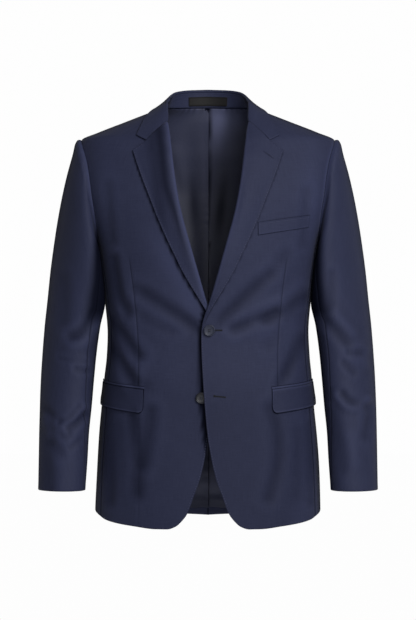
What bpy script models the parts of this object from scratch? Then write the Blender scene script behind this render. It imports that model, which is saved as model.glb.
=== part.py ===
"""Single-breasted suit jacket with two buttons, filled out as if worn, with no wearer.

Metres, +Z up. The jacket faces -Y, so the wearer's left side is at +X and the wearer's
left front laps over the right one. The origin is in the middle of the neck opening,
level with the neck ends of the shoulder seams, where the wearer's shoulders carry it.
"""

import math

import bpy
import numpy as np
from mathutils import Vector
from mathutils.bvhtree import BVHTree

# Thicknesses and clearances
CLOTH = 0.0020
LAPEL_CLOTH = 0.0022
FLAP_CLOTH = 0.0018
STRIP_CLOTH = 0.0012
LINING_CLOTH = 0.0010
SEAM_GAP = 0.0003
LEFT, RIGHT = 1, -1

# The body as level rings: half width, depth to the front and back of the shoulder
# line, and squareness, where 2 is an ellipse. Above the shoulder tips the half width
# follows the slope of the shoulder seam.
BODY_COLUMNS = ("height", "half_width", "front", "back", "squareness")
BODY_RINGS = (
    (0.0200, 0.0500, 0.0340, 0.0660, 2.05),
    (0.0140, 0.0650, 0.0370, 0.0705, 2.05),
    (0.0080, 0.0792, 0.0400, 0.0715, 2.05),
    (0.0000, 0.0990, 0.0470, 0.0745, 2.10),
    (-0.0200, 0.1503, 0.0620, 0.0820, 2.15),
    (-0.0400, 0.2012, 0.0770, 0.0895, 2.20),
    (-0.0535, 0.2310, 0.0860, 0.0940, 2.25),
    (-0.0720, 0.2345, 0.0940, 0.0990, 2.30),
    (-0.1000, 0.2330, 0.1050, 0.1070, 2.35),
    (-0.1500, 0.2265, 0.1170, 0.1155, 2.40),
    (-0.2000, 0.2130, 0.1240, 0.1170, 2.40),
    (-0.2560, 0.1990, 0.1260, 0.1120, 2.40),
    (-0.3000, 0.1930, 0.1235, 0.1050, 2.35),
    (-0.3460, 0.1878, 0.1190, 0.0990, 2.30),
    (-0.4050, 0.1829, 0.1145, 0.0960, 2.30),
    (-0.4480, 0.1850, 0.1145, 0.0975, 2.30),
    (-0.4870, 0.1893, 0.1160, 0.1010, 2.30),
    (-0.5400, 0.1937, 0.1190, 0.1070, 2.30),
    (-0.6000, 0.1990, 0.1225, 0.1135, 2.30),
    (-0.6600, 0.2030, 0.1260, 0.1180, 2.30),
    (-0.7150, 0.2053, 0.1290, 0.1215, 2.30),
    (-0.7800, 0.2065, 0.1310, 0.1240, 2.30),
)
NECK_POINT = 0.008
NAPE = 0.014

# The hem, as heights round the body: 0 degrees is the centre front, 180 the centre back
HEM_COLUMNS = ("bearing", "height")
HEM = (
    (19.0, -0.7383),
    (24.6, -0.7508),
    (30.5, -0.7556),
    (38.0, -0.7556),
    (51.5, -0.7515),
    (60.0, -0.7485),
    (70.0, -0.7432),
    (78.5, -0.7350),
    (90.0, -0.7285),
    (110.0, -0.7335),
    (135.0, -0.7440),
    (180.0, -0.7500),
)

# The front edge of each front below its lapel. A minus sign is past the centre line.
EDGE_COLUMNS = ("height", "across")
FRONT_EDGE = (
    (-0.330, -0.0010),
    (-0.360, -0.0065),
    (-0.379, -0.0105),
    (-0.405, -0.0130),
    (-0.440, -0.0118),
    (-0.478, -0.0105),
    (-0.513, -0.0080),
    (-0.539, -0.0055),
    (-0.577, -0.0025),
    (-0.623, 0.0046),
    (-0.660, 0.0127),
    (-0.696, 0.0253),
    (-0.728, 0.0381),
    (-0.7383, 0.0463),
    (-0.760, 0.0640),
)
BREAK = -0.379
WAIST = -0.405

# The crease where each lapel folds back, and the lapel's outer edge
ROLL_LINE = (
    (0.008, 0.0820),
    (-0.004, 0.0825),
    (-0.014, 0.0780),
    (-0.024, 0.0727),
    (-0.063, 0.0664),
    (-0.119, 0.0595),
    (-0.1665, 0.0517),
    (-0.2027, 0.0434),
    (-0.2513, 0.0299),
    (-0.3027, 0.0154),
    (-0.3515, 0.0012),
    (-0.379, -0.0085),
)
LAPEL_EDGE = (
    (-0.0775, 0.1353),
    (-0.0900, 0.1316),
    (-0.1258, 0.1223),
    (-0.1629, 0.1074),
    (-0.2034, 0.0911),
    (-0.2419, 0.0738),
    (-0.2731, 0.0585),
    (-0.2941, 0.0478),
    (-0.3283, 0.0275),
    (-0.3590, 0.0095),
    (-0.3730, 0.0015),
)
GORGE_TOP = (0.0717, -0.0240)
NOTCH = (0.1100, -0.0600)
LAPEL_TIP = (0.1353, -0.0775)
COLLAR_CORNER = (0.1290, -0.0500)
NOTCH_SHARE = 0.63
COLLAR_NOTCH_SHARE = 0.71
LAPEL_ROLL = 0.0029
LAPEL_SPRING = 0.0035
FACING_STRIP = 0.010
FACING_DEPTH = 0.0041
LAPEL_END = {LEFT: -0.366, RIGHT: -0.357}
LAPEL_END_DROP = 0.003
LAPEL_ROWS = 15
GORGE_REACH = 0.42

# The left front stands off the right one where they lap, over the lower button
LAP_LIFT = 0.0050
LAP_SINK = 0.0026
LAP_REACH = 0.105

# The armhole: half height and half width of its oval, and where the side panel's
# seams and the sleeve's seams reach it, in degrees from the shoulder tip forwards
ARMHOLE_MIDDLE = -0.1548
ARMHOLE_HALF_HEIGHT = 0.1013
ARMHOLE_HALF_WIDTH = 0.054
ARMHOLE_STEP = 15
FRONT_SEAM_TOP = 135
BACK_SEAM_TOP = 240
SLEEVE_FRONT_SEAM = 150
SLEEVE_BACK_SEAM = 255
FRONT_SEAM_BEARING = 74.5
FRONT_SEAM_WAIST = 76.5
BACK_SEAM_BEARING = 108.0
BACK_SEAM_WAIST = 112.0

# The sleeve as rings from its head to its cuff: the outer and inner points seen from
# the front, half the depth, how far forward the middle lies, the turn in degrees that
# brings the front of the ring towards the body, and where the front seam runs
SLEEVE_COLUMNS = (
    "outer_x", "outer_z", "inner_x", "inner_z", "half_depth", "middle_y", "turn", "front_seam",
)
SLEEVE_RINGS = (
    (0.2310, -0.0535, 0.1990, -0.2561, 0.0540, 0.0000, 0.0, 150),
    (0.2366, -0.0535, 0.2010, -0.2568, 0.0560, 0.0000, 1.0, 149),
    (0.2418, -0.0600, 0.2015, -0.2580, 0.0590, 0.0000, 2.0, 147),
    (0.2480, -0.0796, 0.2010, -0.2600, 0.0625, 0.0000, 5.0, 144),
    (0.2592, -0.1168, 0.2000, -0.2650, 0.0665, 0.0000, 9.0, 139),
    (0.2696, -0.1589, 0.1985, -0.2730, 0.0695, -0.0010, 14.0, 133),
    (0.2781, -0.2032, 0.1965, -0.2850, 0.0715, -0.0020, 18.0, 127),
    (0.2848, -0.2478, 0.1942, -0.3000, 0.0722, -0.0030, 21.0, 121),
    (0.2904, -0.2946, 0.1918, -0.3190, 0.0715, -0.0045, 22.0, 117),
    (0.2949, -0.3457, 0.1915, -0.3500, 0.0695, -0.0070, 20.0, 114),
    (0.2995, -0.3934, 0.1969, -0.3934, 0.0668, -0.0105, 17.0, 114),
    (0.3030, -0.4445, 0.2040, -0.4445, 0.0645, -0.0150, 14.0, 118),
    (0.3053, -0.4918, 0.2084, -0.4918, 0.0622, -0.0215, 12.0, 124),
    (0.3064, -0.5390, 0.2123, -0.5390, 0.0598, -0.0290, 10.0, 131),
    (0.3069, -0.5878, 0.2170, -0.5878, 0.0570, -0.0370, 9.0, 139),
    (0.3071, -0.6365, 0.2195, -0.6365, 0.0540, -0.0450, 8.0, 147),
    (0.3074, -0.6898, 0.2231, -0.6898, 0.0508, -0.0530, 8.0, 153),
)
HEAD_RINGS = 7

# The collar from the centre back (0) to the gorge (1): how far the crease leans in
# from the neck seam and rises above it, and where the outer edge lies on the body
COLLAR_COLUMNS = ("along", "lean", "rise", "edge_bearing", "edge_height", "belly")
COLLAR = (
    (0.00, 0.0000, 0.0315, 180.0, 0.0030, 0.0040),
    (0.20, 0.0010, 0.0308, 152.0, 0.0030, 0.0042),
    (0.40, 0.0035, 0.0275, 124.0, 0.0035, 0.0036),
    (0.55, 0.0060, 0.0200, 102.0, 0.0030, 0.0018),
    (0.65, 0.0080, 0.0150, 90.0, 0.0008, 0.0006),
    (0.75, 0.0080, 0.0110, 80.5, -0.0035, 0.0006),
    (0.88, 0.0055, 0.0070, 70.0, -0.0200, 0.0020),
    (1.00, 0.0030, 0.0042, 61.0, -0.0500, 0.0030),
)
NECK_POINT_ALONG = 0.65
CREASE_RADIUS = 0.0026
STAND_LAP = 0.0015
STAND_INSET = 0.0032
STAND_TOP_DROP = 0.0062
COLLAR_EDGE_LIFT = 0.0032
COLLAR_SPRING = 0.0012
GORGE_GAP = 0.0010
COLLAR_FALL_STEPS = (0.15, 0.35, 0.54, COLLAR_NOTCH_SHARE, 0.86, 1.0)
COLLAR_HALF_COLUMNS = 14
STAND_COLUMNS = 12
STAND_LEVELS = (0.0, 0.33, 0.66, 1.0)

# Pockets: the hip flap by bearing and height at its two upper corners, and the welt
# on the left chest by its four corners seen from the front
FLAP_FRONT_BEARING = 48.5
FLAP_BACK_BEARING = 88.0
FLAP_FRONT_HEIGHT = -0.5066
FLAP_BACK_HEIGHT = -0.4961
FLAP_DEPTH = 0.0445
FLAP_WIDTH = 0.152
FLAP_CORNER = 0.012
FLAP_SPRING = 0.0016
JETTING_DEPTH = 0.0050
WELT_GAP = 0.0005
WELT_CORNERS = ((0.0890, -0.2308), (0.0886, -0.2070), (0.1833, -0.1924), (0.1804, -0.2153))

# Buttons and label
BUTTON_RADIUS = 0.0103
BUTTON_THICKNESS = 0.0034
BUTTON_RIM = 0.0022
BUTTON_ROUNDING = 0.0008
BUTTON_SIDES = 20
BUTTON_DISH = 0.0009
SHANK_RADIUS = 0.0022
SHANK_LENGTH = 0.0010
BUTTON_GAP = 0.0005
TOP_BUTTON = (0.0023, -0.4004)
LOWER_BUTTON = (-0.0118, -0.5216)
LABEL_HALF_WIDTH = 0.0368
LABEL_BOTTOM = 0.10
LABEL_TOP = 0.71
LABEL_GAP = 0.0007

# The lining of the back: its distance above the hem and inside the other edges, and
# the ease pleat down the centre back, where the right half laps over the left one
LINING_HEM = 0.013
LINING_INSET = 0.003
LINING_GAP = 0.0005
PLEAT_LAP = 0.008
PLEAT_STAND = 0.0026
PLEAT_REACH = 0.045

# The largest soft folds of the fronts, as seen from the front: each runs from its first
# to its last point, sinks by its depth and is as wide as its spread. A minus sign in
# front of the depth makes a ridge.
FOLD_COLUMNS = ("first_x", "first_z", "last_x", "last_z", "spread", "depth")
FRONT_FOLDS = {
    LEFT: (
        (0.020, -0.385, 0.075, -0.312, 0.015, 0.0022),
        (0.150, -0.470, 0.166, -0.405, 0.016, 0.0018),
        (0.152, -0.590, 0.160, -0.700, 0.017, 0.0020),
    ),
    RIGHT: (
        (0.022, -0.388, 0.098, -0.342, 0.014, 0.0022),
        (0.140, -0.580, 0.145, -0.705, 0.015, 0.0022),
        (0.168, -0.570, 0.172, -0.700, 0.014, 0.0016),
    ),
}
FOLD_FADE = 0.030

# The soft folds at the elbows, by the sleeve's angle and height
ELBOW_COLUMNS = ("angle", "height", "reach", "spread", "depth")
ELBOW_FOLDS = {
    LEFT: (
        (95, -0.3934, 60, 0.022, 0.0030),
        (60, -0.4918, 50, 0.022, 0.0025),
        (120, -0.5390, 45, 0.020, 0.0020),
    ),
    RIGHT: (
        (80, -0.3934, 55, 0.022, 0.0028),
        (110, -0.4918, 55, 0.020, 0.0026),
        (55, -0.5390, 40, 0.020, 0.0020),
    ),
}

# How finely the panels are divided. The front's columns crowd towards its edge.
LOWER_ROWS = np.concatenate([
    np.linspace(FRONT_EDGE[-2][0], BREAK, 9),
    np.linspace(LAPEL_END[LEFT], -0.215, 4),
])
SEAM_ROWS = len(LOWER_ROWS) - 1
FRONT_COLUMNS = np.linspace(0, 1, 12) ** 1.3
BACK_COLUMNS = np.linspace(0, 1, 12)
NECK_COLUMNS = 5

COLOURS = {
    "wool": (0.026, 0.031, 0.066),
    "lining": (0.022, 0.024, 0.046),
    "button": (0.030, 0.033, 0.048),
    "label": (0.012, 0.012, 0.013),
}
ROUGHNESS = {"wool": 0.75, "lining": 0.38, "button": 0.35, "label": 0.55}


def clear_scene():
    for obj in list(bpy.data.objects):
        bpy.data.objects.remove(obj)


def make_materials():
    made = {}
    for name, colour in COLOURS.items():
        material = bpy.data.materials.new(name)
        material.use_nodes = True
        shader = material.node_tree.nodes["Principled BSDF"]
        shader.inputs["Base Color"].default_value = (*colour, 1.0)
        shader.inputs["Roughness"].default_value = ROUGHNESS[name]
        shader.inputs["Metallic"].default_value = 0.0
        made[name] = material
    return made


def smooth_curve(knots, values):
    """A cubic through the knots that keeps between neighbouring values, as a function."""
    order = np.argsort(knots)
    x = np.asarray(knots, float)[order]
    y = np.asarray(values, float)[order]
    step = np.diff(x)
    slope = np.diff(y) / step
    tangent = np.zeros(len(x))
    tangent[0], tangent[-1] = slope[0], slope[-1]
    for i in range(1, len(x) - 1):
        if slope[i - 1] * slope[i] > 0:
            before = 2 * step[i] + step[i - 1]
            after = step[i] + 2 * step[i - 1]
            tangent[i] = (before + after) / (before / slope[i - 1] + after / slope[i])

    def value(at):
        at = np.clip(np.asarray(at, float), x[0], x[-1])
        i = np.clip(np.searchsorted(x, at) - 1, 0, len(x) - 2)
        h = step[i]
        t = (at - x[i]) / h
        return (
            y[i] * (1 + 2 * t) * (1 - t) ** 2
            + y[i + 1] * t**2 * (3 - 2 * t)
            + tangent[i] * h * t * (1 - t) ** 2
            - tangent[i + 1] * h * t**2 * (1 - t)
        )

    return value


def table_curves(columns, rows):
    """One smooth curve for each column after the first, read against the first."""
    data = np.array(rows, float)
    return {name: smooth_curve(data[:, 0], data[:, i]) for i, name in enumerate(columns) if i}


def smoothstep(low, high, at):
    t = np.clip((np.asarray(at, float) - low) / (high - low), 0.0, 1.0)
    return t * t * (3 - 2 * t)


def unit(vectors):
    return vectors / np.linalg.norm(vectors, axis=-1, keepdims=True)


BODY = table_curves(BODY_COLUMNS, BODY_RINGS)
HEM_HEIGHT = table_curves(HEM_COLUMNS, HEM)["height"]
EDGE_ACROSS = table_curves(EDGE_COLUMNS, FRONT_EDGE)["across"]
ROLL_ACROSS = table_curves(EDGE_COLUMNS, ROLL_LINE)["across"]
LAPEL_ACROSS = table_curves(EDGE_COLUMNS, LAPEL_EDGE)["across"]
COLLAR_AT = table_curves(COLLAR_COLUMNS, COLLAR)


def body_point(bearing, height):
    """A point of the body's surface by its bearing, in radians from the front, and height."""
    bearing, height = np.broadcast_arrays(np.asarray(bearing, float), np.asarray(height, float))
    sine, cosine = np.sin(bearing), np.cos(bearing)
    depth = np.where(cosine > 0, BODY["front"](height), BODY["back"](height))
    power = BODY["squareness"](height)
    across = np.abs(sine) / BODY["half_width"](height)
    along = np.abs(cosine) / depth
    reach = (across**power + along**power) ** (-1 / power)
    return np.stack([reach * sine, -reach * cosine, height], -1)


def body_normal(bearing, height):
    turn, climb = 0.004, 0.001
    round_it = body_point(np.add(bearing, turn), height) - body_point(np.subtract(bearing, turn), height)
    up_it = body_point(bearing, np.add(height, climb)) - body_point(bearing, np.subtract(height, climb))
    return unit(np.cross(round_it, up_it))


def bearing_of(across, height):
    """The bearing of the front surface at a distance from the centre line."""
    across = np.asarray(across, float)
    power = BODY["squareness"](height)
    share = np.clip(np.abs(across) / BODY["half_width"](height), 0, 0.9999)
    depth = BODY["front"](height) * (1 - share**power) ** (1 / power)
    return np.arctan2(across, depth)


def lap_offset(side, across, height):
    """How far a front stands off the body's surface where the fronts lap."""
    near = 1 - smoothstep(0.008, LAP_REACH, np.abs(across))
    level = smoothstep(-0.20, -0.35, height) * (1 - 0.6 * smoothstep(-0.60, -0.75, height))
    return (LAP_LIFT if side == LEFT else -LAP_SINK) * near * level


def front_folds(side, across, height):
    """How far the large folds move a front, fading before its edge and its seams."""
    total = np.zeros(np.broadcast(across, height).shape)
    for first_x, first_z, last_x, last_z, spread, depth in FRONT_FOLDS[side]:
        run = np.array([last_x - first_x, last_z - first_z])
        length = np.hypot(*run)
        along = ((across - first_x) * run[0] + (height - first_z) * run[1]) / length
        aside = ((across - first_x) * run[1] - (height - first_z) * run[0]) / length
        beyond = np.maximum(np.maximum(-along, along - length), 0)
        total -= depth * np.exp(-(aside**2 + beyond**2) / spread**2)
    return total * smoothstep(0.0, FOLD_FADE, across) * smoothstep(-0.757, -0.725, height)


def front_surface(side, bearing, height):
    """Points and normals of one front. Bearings count from the centre towards its side."""
    point = body_point(bearing, height)
    normal = body_normal(bearing, height)
    seam = np.radians(FRONT_SEAM_BEARING)
    inside = 1 - smoothstep(seam - 0.20, seam, bearing)
    offset = lap_offset(side, point[..., 0], height)
    offset = offset + front_folds(side, point[..., 0], height) * inside
    return point + normal * offset[..., None], normal


def mirrored(side, vectors):
    return vectors * np.array([side, 1.0, 1.0])


def armhole(angle):
    """A point of the armhole. 0 degrees is the shoulder tip, 90 the front, 180 the underarm."""
    angle = np.radians(angle)
    y = -ARMHOLE_HALF_WIDTH * np.sin(angle)
    z = ARMHOLE_MIDDLE + ARMHOLE_HALF_HEIGHT * np.cos(angle)
    depth = np.where(y < 0, BODY["front"](z), BODY["back"](z))
    power = BODY["squareness"](z)
    x = BODY["half_width"](z) * (1 - (np.abs(y) / depth) ** power) ** (1 / power)
    return np.stack([x, y, z], -1)


def armhole_bearing(angle):
    point = armhole(angle)
    return np.arctan2(point[..., 0], -point[..., 1])


def resample(points, shares, measure):
    """Rows of points at the given shares of the length of the measured line."""
    length = np.concatenate([[0], np.cumsum(np.linalg.norm(np.diff(measure, axis=0), axis=1))])
    at = np.asarray(shares) * length[-1]
    return np.stack([np.interp(at, length, points[:, i]) for i in range(points.shape[1])], -1)


def panel_rows(u, inner, outer, bottom, top, low_share, high_share):
    """Rows between two edges, bent near the ends to meet the bottom and top curves."""
    u = u[None, :, None]
    level = np.linspace(0, 1, len(inner))[:, None, None]
    grid = inner[:, None, :] * (1 - u) + outer[:, None, :] * u
    near_bottom = np.clip(1 - level / low_share, 0, 1) ** 2
    near_top = np.clip((level - 1 + high_share) / high_share, 0, 1) ** 2
    grid = grid + near_bottom * (bottom[None] - grid[:1])
    return grid + near_top * (top[None] - grid[-1:])


def side_seam(start_bearing, waist_bearing, top_angle):
    """A seam from the hem to the armhole, as bearing and height for each row."""
    top = armhole(top_angle)
    low = float(HEM_HEIGHT(start_bearing))
    height = np.linspace(low, top[2], SEAM_ROWS + 1)
    curve = smooth_curve(
        [low, WAIST, top[2]],
        [start_bearing, waist_bearing, math.degrees(float(armhole_bearing(top_angle)))],
    )
    return np.stack([np.radians(curve(height)), height], -1)


def inner_front_line():
    """The front panel's own edge, from the hem's corner up to the neck point."""
    low = FRONT_EDGE[-2][0]
    edge_height = np.linspace(low, BREAK, 60)
    roll_height = np.linspace(BREAK, GORGE_TOP[1], 60)[1:]
    neck_height = np.linspace(GORGE_TOP[1], NECK_POINT, 40)[1:]
    inset = LAPEL_ROLL + LAPEL_CLOTH / 2
    roll_inset = inset * smoothstep(BREAK, LAPEL_END[LEFT], roll_height)
    across = np.concatenate([
        EDGE_ACROSS(edge_height),
        ROLL_ACROSS(roll_height) + roll_inset,
        ROLL_ACROSS(neck_height) + inset * (1 - smoothstep(GORGE_TOP[1], NECK_POINT - 0.006, neck_height)),
    ])
    height = np.concatenate([edge_height, roll_height, neck_height])
    bearing = bearing_of(across, height)
    bearing[-1] = math.pi / 2
    return np.stack([bearing, height], -1)


def nudge(line, distance):
    """Moves a line of bearings and heights sideways along the surface."""
    reach = np.linalg.norm(body_point(line[:, 0], line[:, 1])[:, :2], axis=-1)
    return line + np.stack([distance / reach, np.zeros(len(line))], -1)


def front_panel_domain():
    seam = side_seam(FRONT_SEAM_BEARING, FRONT_SEAM_WAIST, FRONT_SEAM_TOP)
    angles = np.arange(FRONT_SEAM_TOP - ARMHOLE_STEP, -1, -ARMHOLE_STEP)
    scye = np.stack([armhole_bearing(angles), armhole(angles)[:, 2]], -1)
    outer = np.concatenate([nudge(seam, -SEAM_GAP / 2), scye])
    line = inner_front_line()
    measure = body_point(line[:, 0], line[:, 1])
    middle = int(np.argmin(np.abs(line[:, 1] - LOWER_ROWS[-1])))
    low = np.stack([np.interp(LOWER_ROWS, line[:, 1], line[:, 0]), LOWER_ROWS], -1)
    high = resample(line[middle:], np.linspace(0, 1, len(angles) + 1), measure[middle:])
    inner = np.concatenate([low, high[1:]])
    u = FRONT_COLUMNS
    bearings = np.degrees(inner[0, 0]) * (1 - u) + FRONT_SEAM_BEARING * u
    bottom = np.stack([np.radians(bearings), HEM_HEIGHT(bearings)], -1)
    bottom[0], bottom[-1] = inner[0], outer[0]
    top = inner[-1] * (1 - u[:, None]) + outer[-1] * u[:, None]
    top[:, 0] -= SEAM_GAP / 2 / BODY["half_width"](top[:, 1])
    return panel_rows(u, inner, outer, bottom, top, 0.35, 0.2)


def back_panel_domain():
    seam = side_seam(BACK_SEAM_BEARING, BACK_SEAM_WAIST, BACK_SEAM_TOP)
    angles = np.arange(BACK_SEAM_TOP + ARMHOLE_STEP, 361, ARMHOLE_STEP)
    scye = np.stack([armhole_bearing(angles), armhole(angles)[:, 2]], -1)
    outer = np.concatenate([nudge(seam, SEAM_GAP / 2), scye])
    rows = len(outer)
    low, scye_level = float(HEM_HEIGHT(180.0)), -0.19
    height = np.concatenate([
        np.linspace(low, scye_level, SEAM_ROWS + 1),
        np.linspace(scye_level, NAPE, rows - SEAM_ROWS)[1:],
    ])
    inner = nudge(np.stack([np.full(rows, math.pi), height], -1), -SEAM_GAP / 2)
    u = BACK_COLUMNS
    bearings = 180.0 * (1 - u) + BACK_SEAM_BEARING * u
    bottom = np.stack([np.radians(bearings), HEM_HEIGHT(bearings)], -1)
    bottom[0], bottom[-1] = inner[0], outer[0]
    round_neck = np.linspace(0, 1, NECK_COLUMNS + 1)[:, None]
    neck_end = np.array([math.pi / 2, NECK_POINT])
    neck = inner[-1] * (1 - round_neck) + neck_end * round_neck
    along = np.linspace(0, 1, len(u) - NECK_COLUMNS)[1:, None]
    shoulder = neck_end * (1 - along) + outer[-1] * along
    top = np.concatenate([neck, shoulder])
    on_seam = top[NECK_COLUMNS:]
    on_seam[:, 0] = math.pi / 2 + SEAM_GAP / 2 / BODY["half_width"](on_seam[:, 1])
    return panel_rows(u, inner, outer, bottom, top, 0.35, 0.45)


def side_panel_domain():
    front = nudge(side_seam(FRONT_SEAM_BEARING, FRONT_SEAM_WAIST, FRONT_SEAM_TOP), SEAM_GAP / 2)
    back = nudge(side_seam(BACK_SEAM_BEARING, BACK_SEAM_WAIST, BACK_SEAM_TOP), -SEAM_GAP / 2)
    angles = np.arange(FRONT_SEAM_TOP, BACK_SEAM_TOP + 1, ARMHOLE_STEP)
    top = np.stack([armhole_bearing(angles), armhole(angles)[:, 2]], -1)
    top[0], top[-1] = front[-1], back[-1]
    u = np.linspace(0, 1, len(angles))
    bearings = FRONT_SEAM_BEARING * (1 - u) + BACK_SEAM_BEARING * u
    bottom = np.stack([np.radians(bearings), HEM_HEIGHT(bearings)], -1)
    bottom[0], bottom[-1] = front[0], back[0]
    return panel_rows(u, front, back, bottom, top, 0.35, 0.3)


def sleeve_oval(ring, angle):
    """A ring of the sleeve through its outer and inner points."""
    outer_x, outer_z, inner_x, inner_z, half_depth, middle_y, turn, front_seam = ring
    places = (0, SLEEVE_FRONT_SEAM, SLEEVE_BACK_SEAM, 360)
    angle = np.interp(angle, places, (0, front_seam, SLEEVE_BACK_SEAM, 360))
    angle, turn = np.radians(angle)[:, None], math.radians(turn)
    middle = np.array([(outer_x + inner_x) / 2, middle_y, (outer_z + inner_z) / 2])
    outward = np.array([(outer_x - inner_x) / 2, 0.0, (outer_z - inner_z) / 2])
    across = math.sqrt(outward[0] ** 2 - (half_depth * math.sin(turn)) ** 2)
    outward = outward * np.array([across / outward[0], 1.0, 1.0])
    forward = np.array([-half_depth * math.sin(turn), -half_depth * math.cos(turn), 0.0])
    return middle + outward * np.cos(angle) + forward * np.sin(angle)


def sleeve_points(angle):
    """The sleeve's rings at the given angles. The first is the armhole itself."""
    rings = np.stack([sleeve_oval(ring, angle) for ring in SLEEVE_RINGS])
    miss = armhole(angle) - rings[0]
    for index in range(HEAD_RINGS):
        rings[index] += miss * (1 - index / HEAD_RINGS) ** 1.5
    return rings


def grid_normals(grid, closed=False):
    """Normals of a grid of points, from its own rows and columns."""
    down = np.gradient(grid, axis=0)
    if closed:
        across = np.roll(grid, -1, axis=1) - np.roll(grid, 1, axis=1)
    else:
        across = np.gradient(grid, axis=1)
    return unit(np.cross(across, down))


def elbow_folds(side, angle, height):
    total = np.zeros(height.shape)
    for middle, level, reach, spread, depth in ELBOW_FOLDS[side]:
        turn = (angle[None] - middle + 180) % 360 - 180
        total -= depth * np.exp(-((turn / reach) ** 2) - ((height - level) / spread) ** 2)
    return total


def sleeve_shape(side):
    """Angles, points and outward normals of a whole sleeve, on the left side."""
    angle = np.arange(0, 360, ARMHOLE_STEP)
    points = sleeve_points(angle)
    normals = grid_normals(points, closed=True)
    centre = points.mean(axis=1, keepdims=True)
    if np.sum((points - centre) * normals) < 0:
        normals = -normals
    points = points + normals * elbow_folds(side, angle, points[..., 2])[..., None]
    return angle, points, normals


def seam_normals():
    """The shared direction of the walls along the armhole, for body and sleeve."""
    angle, points, normals = sleeve_shape(LEFT)
    body = body_normal(armhole_bearing(angle), points[0][:, 2])
    return unit(body + normals[0])


def armhole_normal(angles):
    shared = seam_normals()
    return shared[(np.asarray(angles) % 360) // ARMHOLE_STEP]


def add_object(name, vertices, faces, material, side=1):
    if side < 0:
        faces = [tuple(reversed(face)) for face in faces]
    mesh = bpy.data.meshes.new(name)
    mesh.from_pydata([tuple(map(float, vertex)) for vertex in vertices], [], faces)
    mesh.materials.append(material)
    mesh.validate()
    mesh.shade_smooth()
    mesh.set_sharp_from_angle(angle=math.radians(40))
    obj = bpy.data.objects.new(name, mesh)
    bpy.context.scene.collection.objects.link(obj)
    return obj


def wall_faces(points):
    """Triangles of a closed wall whose outer layer of grid points comes before its inner one.

    Each cell is cut along its shorter diagonal on both layers, and each strip of the rim
    from the outer layer of its lower end, so that neighbouring walls match.
    """
    rows, columns = points.shape[:2]
    flat = points.reshape(-1, 3)
    count = rows * columns
    faces = []
    for i in range(rows - 1):
        for j in range(columns - 1):
            a = i * columns + j
            b, c, d = a + 1, a + columns + 1, a + columns
            one = np.linalg.norm(flat[a] - flat[c])
            other = np.linalg.norm(flat[b] - flat[d])
            pair = ((a, b, c), (a, c, d)) if one <= other + 1e-7 else ((a, b, d), (b, c, d))
            for face in pair:
                faces.append(face)
                faces.append(tuple(count + v for v in reversed(face)))
    rim = [j for j in range(columns)]
    rim += [i * columns + columns - 1 for i in range(1, rows)]
    rim += [(rows - 1) * columns + j for j in range(columns - 2, -1, -1)]
    rim += [i * columns for i in range(rows - 2, 0, -1)]
    for a, b in zip(rim, rim[1:] + rim[:1]):
        if flat[a][2] <= flat[b][2]:
            faces += [(b, a, count + b), (a, count + a, count + b)]
        else:
            faces += [(b, a, count + a), (b, count + a, count + b)]
    return faces


def signed_volume(vertices, faces):
    total = 0.0
    for face in faces:
        for k in range(1, len(face) - 1):
            total += np.dot(vertices[face[0]], np.cross(vertices[face[k]], vertices[face[k + 1]]))
    return total


def panel_base(side):
    """The front and side panels as they are divided, to lay smaller pieces on."""
    vertices, faces = [], []
    front, side_panel = front_panel_domain(), side_panel_domain()
    grids = (
        front_surface(side, front[..., 0], front[..., 1])[0],
        body_point(side_panel[..., 0], side_panel[..., 1]),
    )
    for grid in grids:
        count = grid.shape[0] * grid.shape[1]
        outer = [face for face in wall_faces(grid) if max(face) < count]
        faces += [tuple(len(vertices) + v for v in face) for face in outer]
        vertices += [tuple(map(float, point)) for point in grid.reshape(-1, 3)]
    return BVHTree.FromPolygons(vertices, faces)


def on_panel(side, bearing, height):
    """Points and normals of the smooth surface, or of the divided panels where they stand out."""
    points, normals = front_surface(side, bearing, height)
    base = panel_base(side)
    flat = points.reshape(-1, 3)
    for index, normal in enumerate(normals.reshape(-1, 3)):
        start = Vector(flat[index] + normal * 0.01)
        reach = base.ray_cast(start, Vector(-normal), 0.01)[3]
        if reach is not None:
            flat[index] += normal * (0.01 - reach)
    return flat.reshape(points.shape), normals


def add_wall(name, points, normals, thickness, material):
    """A closed wall of even thickness about a grid of points."""
    half = np.asarray(thickness) / 2
    half = half if half.ndim == 0 else half[..., None]
    vertices = np.concatenate([
        (points + normals * half).reshape(-1, 3),
        (points - normals * half).reshape(-1, 3),
    ])
    faces = wall_faces(points)
    side = 1 if signed_volume(vertices, faces) > 0 else -1
    return add_object(name, vertices, faces, material, side)


def add_front(side, material):
    domain = front_panel_domain()
    points, normals = front_surface(side, domain[..., 0], domain[..., 1])
    angles = np.arange(FRONT_SEAM_TOP, -1, -ARMHOLE_STEP)
    normals[SEAM_ROWS:, -1] = armhole_normal(angles)
    name = "front_left" if side == LEFT else "front_right"
    return add_wall(name, mirrored(side, points), mirrored(side, normals), CLOTH, material)


def add_back(side, material):
    domain = back_panel_domain()
    points = body_point(domain[..., 0], domain[..., 1])
    normals = body_normal(domain[..., 0], domain[..., 1])
    angles = np.arange(BACK_SEAM_TOP, 361, ARMHOLE_STEP)
    normals[SEAM_ROWS:, -1] = armhole_normal(angles)
    name = "back_left" if side == LEFT else "back_right"
    return add_wall(name, mirrored(side, points), mirrored(side, normals), CLOTH, material)


def add_side(side, material):
    domain = side_panel_domain()
    points = body_point(domain[..., 0], domain[..., 1])
    normals = body_normal(domain[..., 0], domain[..., 1])
    angles = np.arange(FRONT_SEAM_TOP, BACK_SEAM_TOP + 1, ARMHOLE_STEP)
    normals[-1] = armhole_normal(angles)
    name = "side_left" if side == LEFT else "side_right"
    return add_wall(name, mirrored(side, points), mirrored(side, normals), CLOTH, material)


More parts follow.
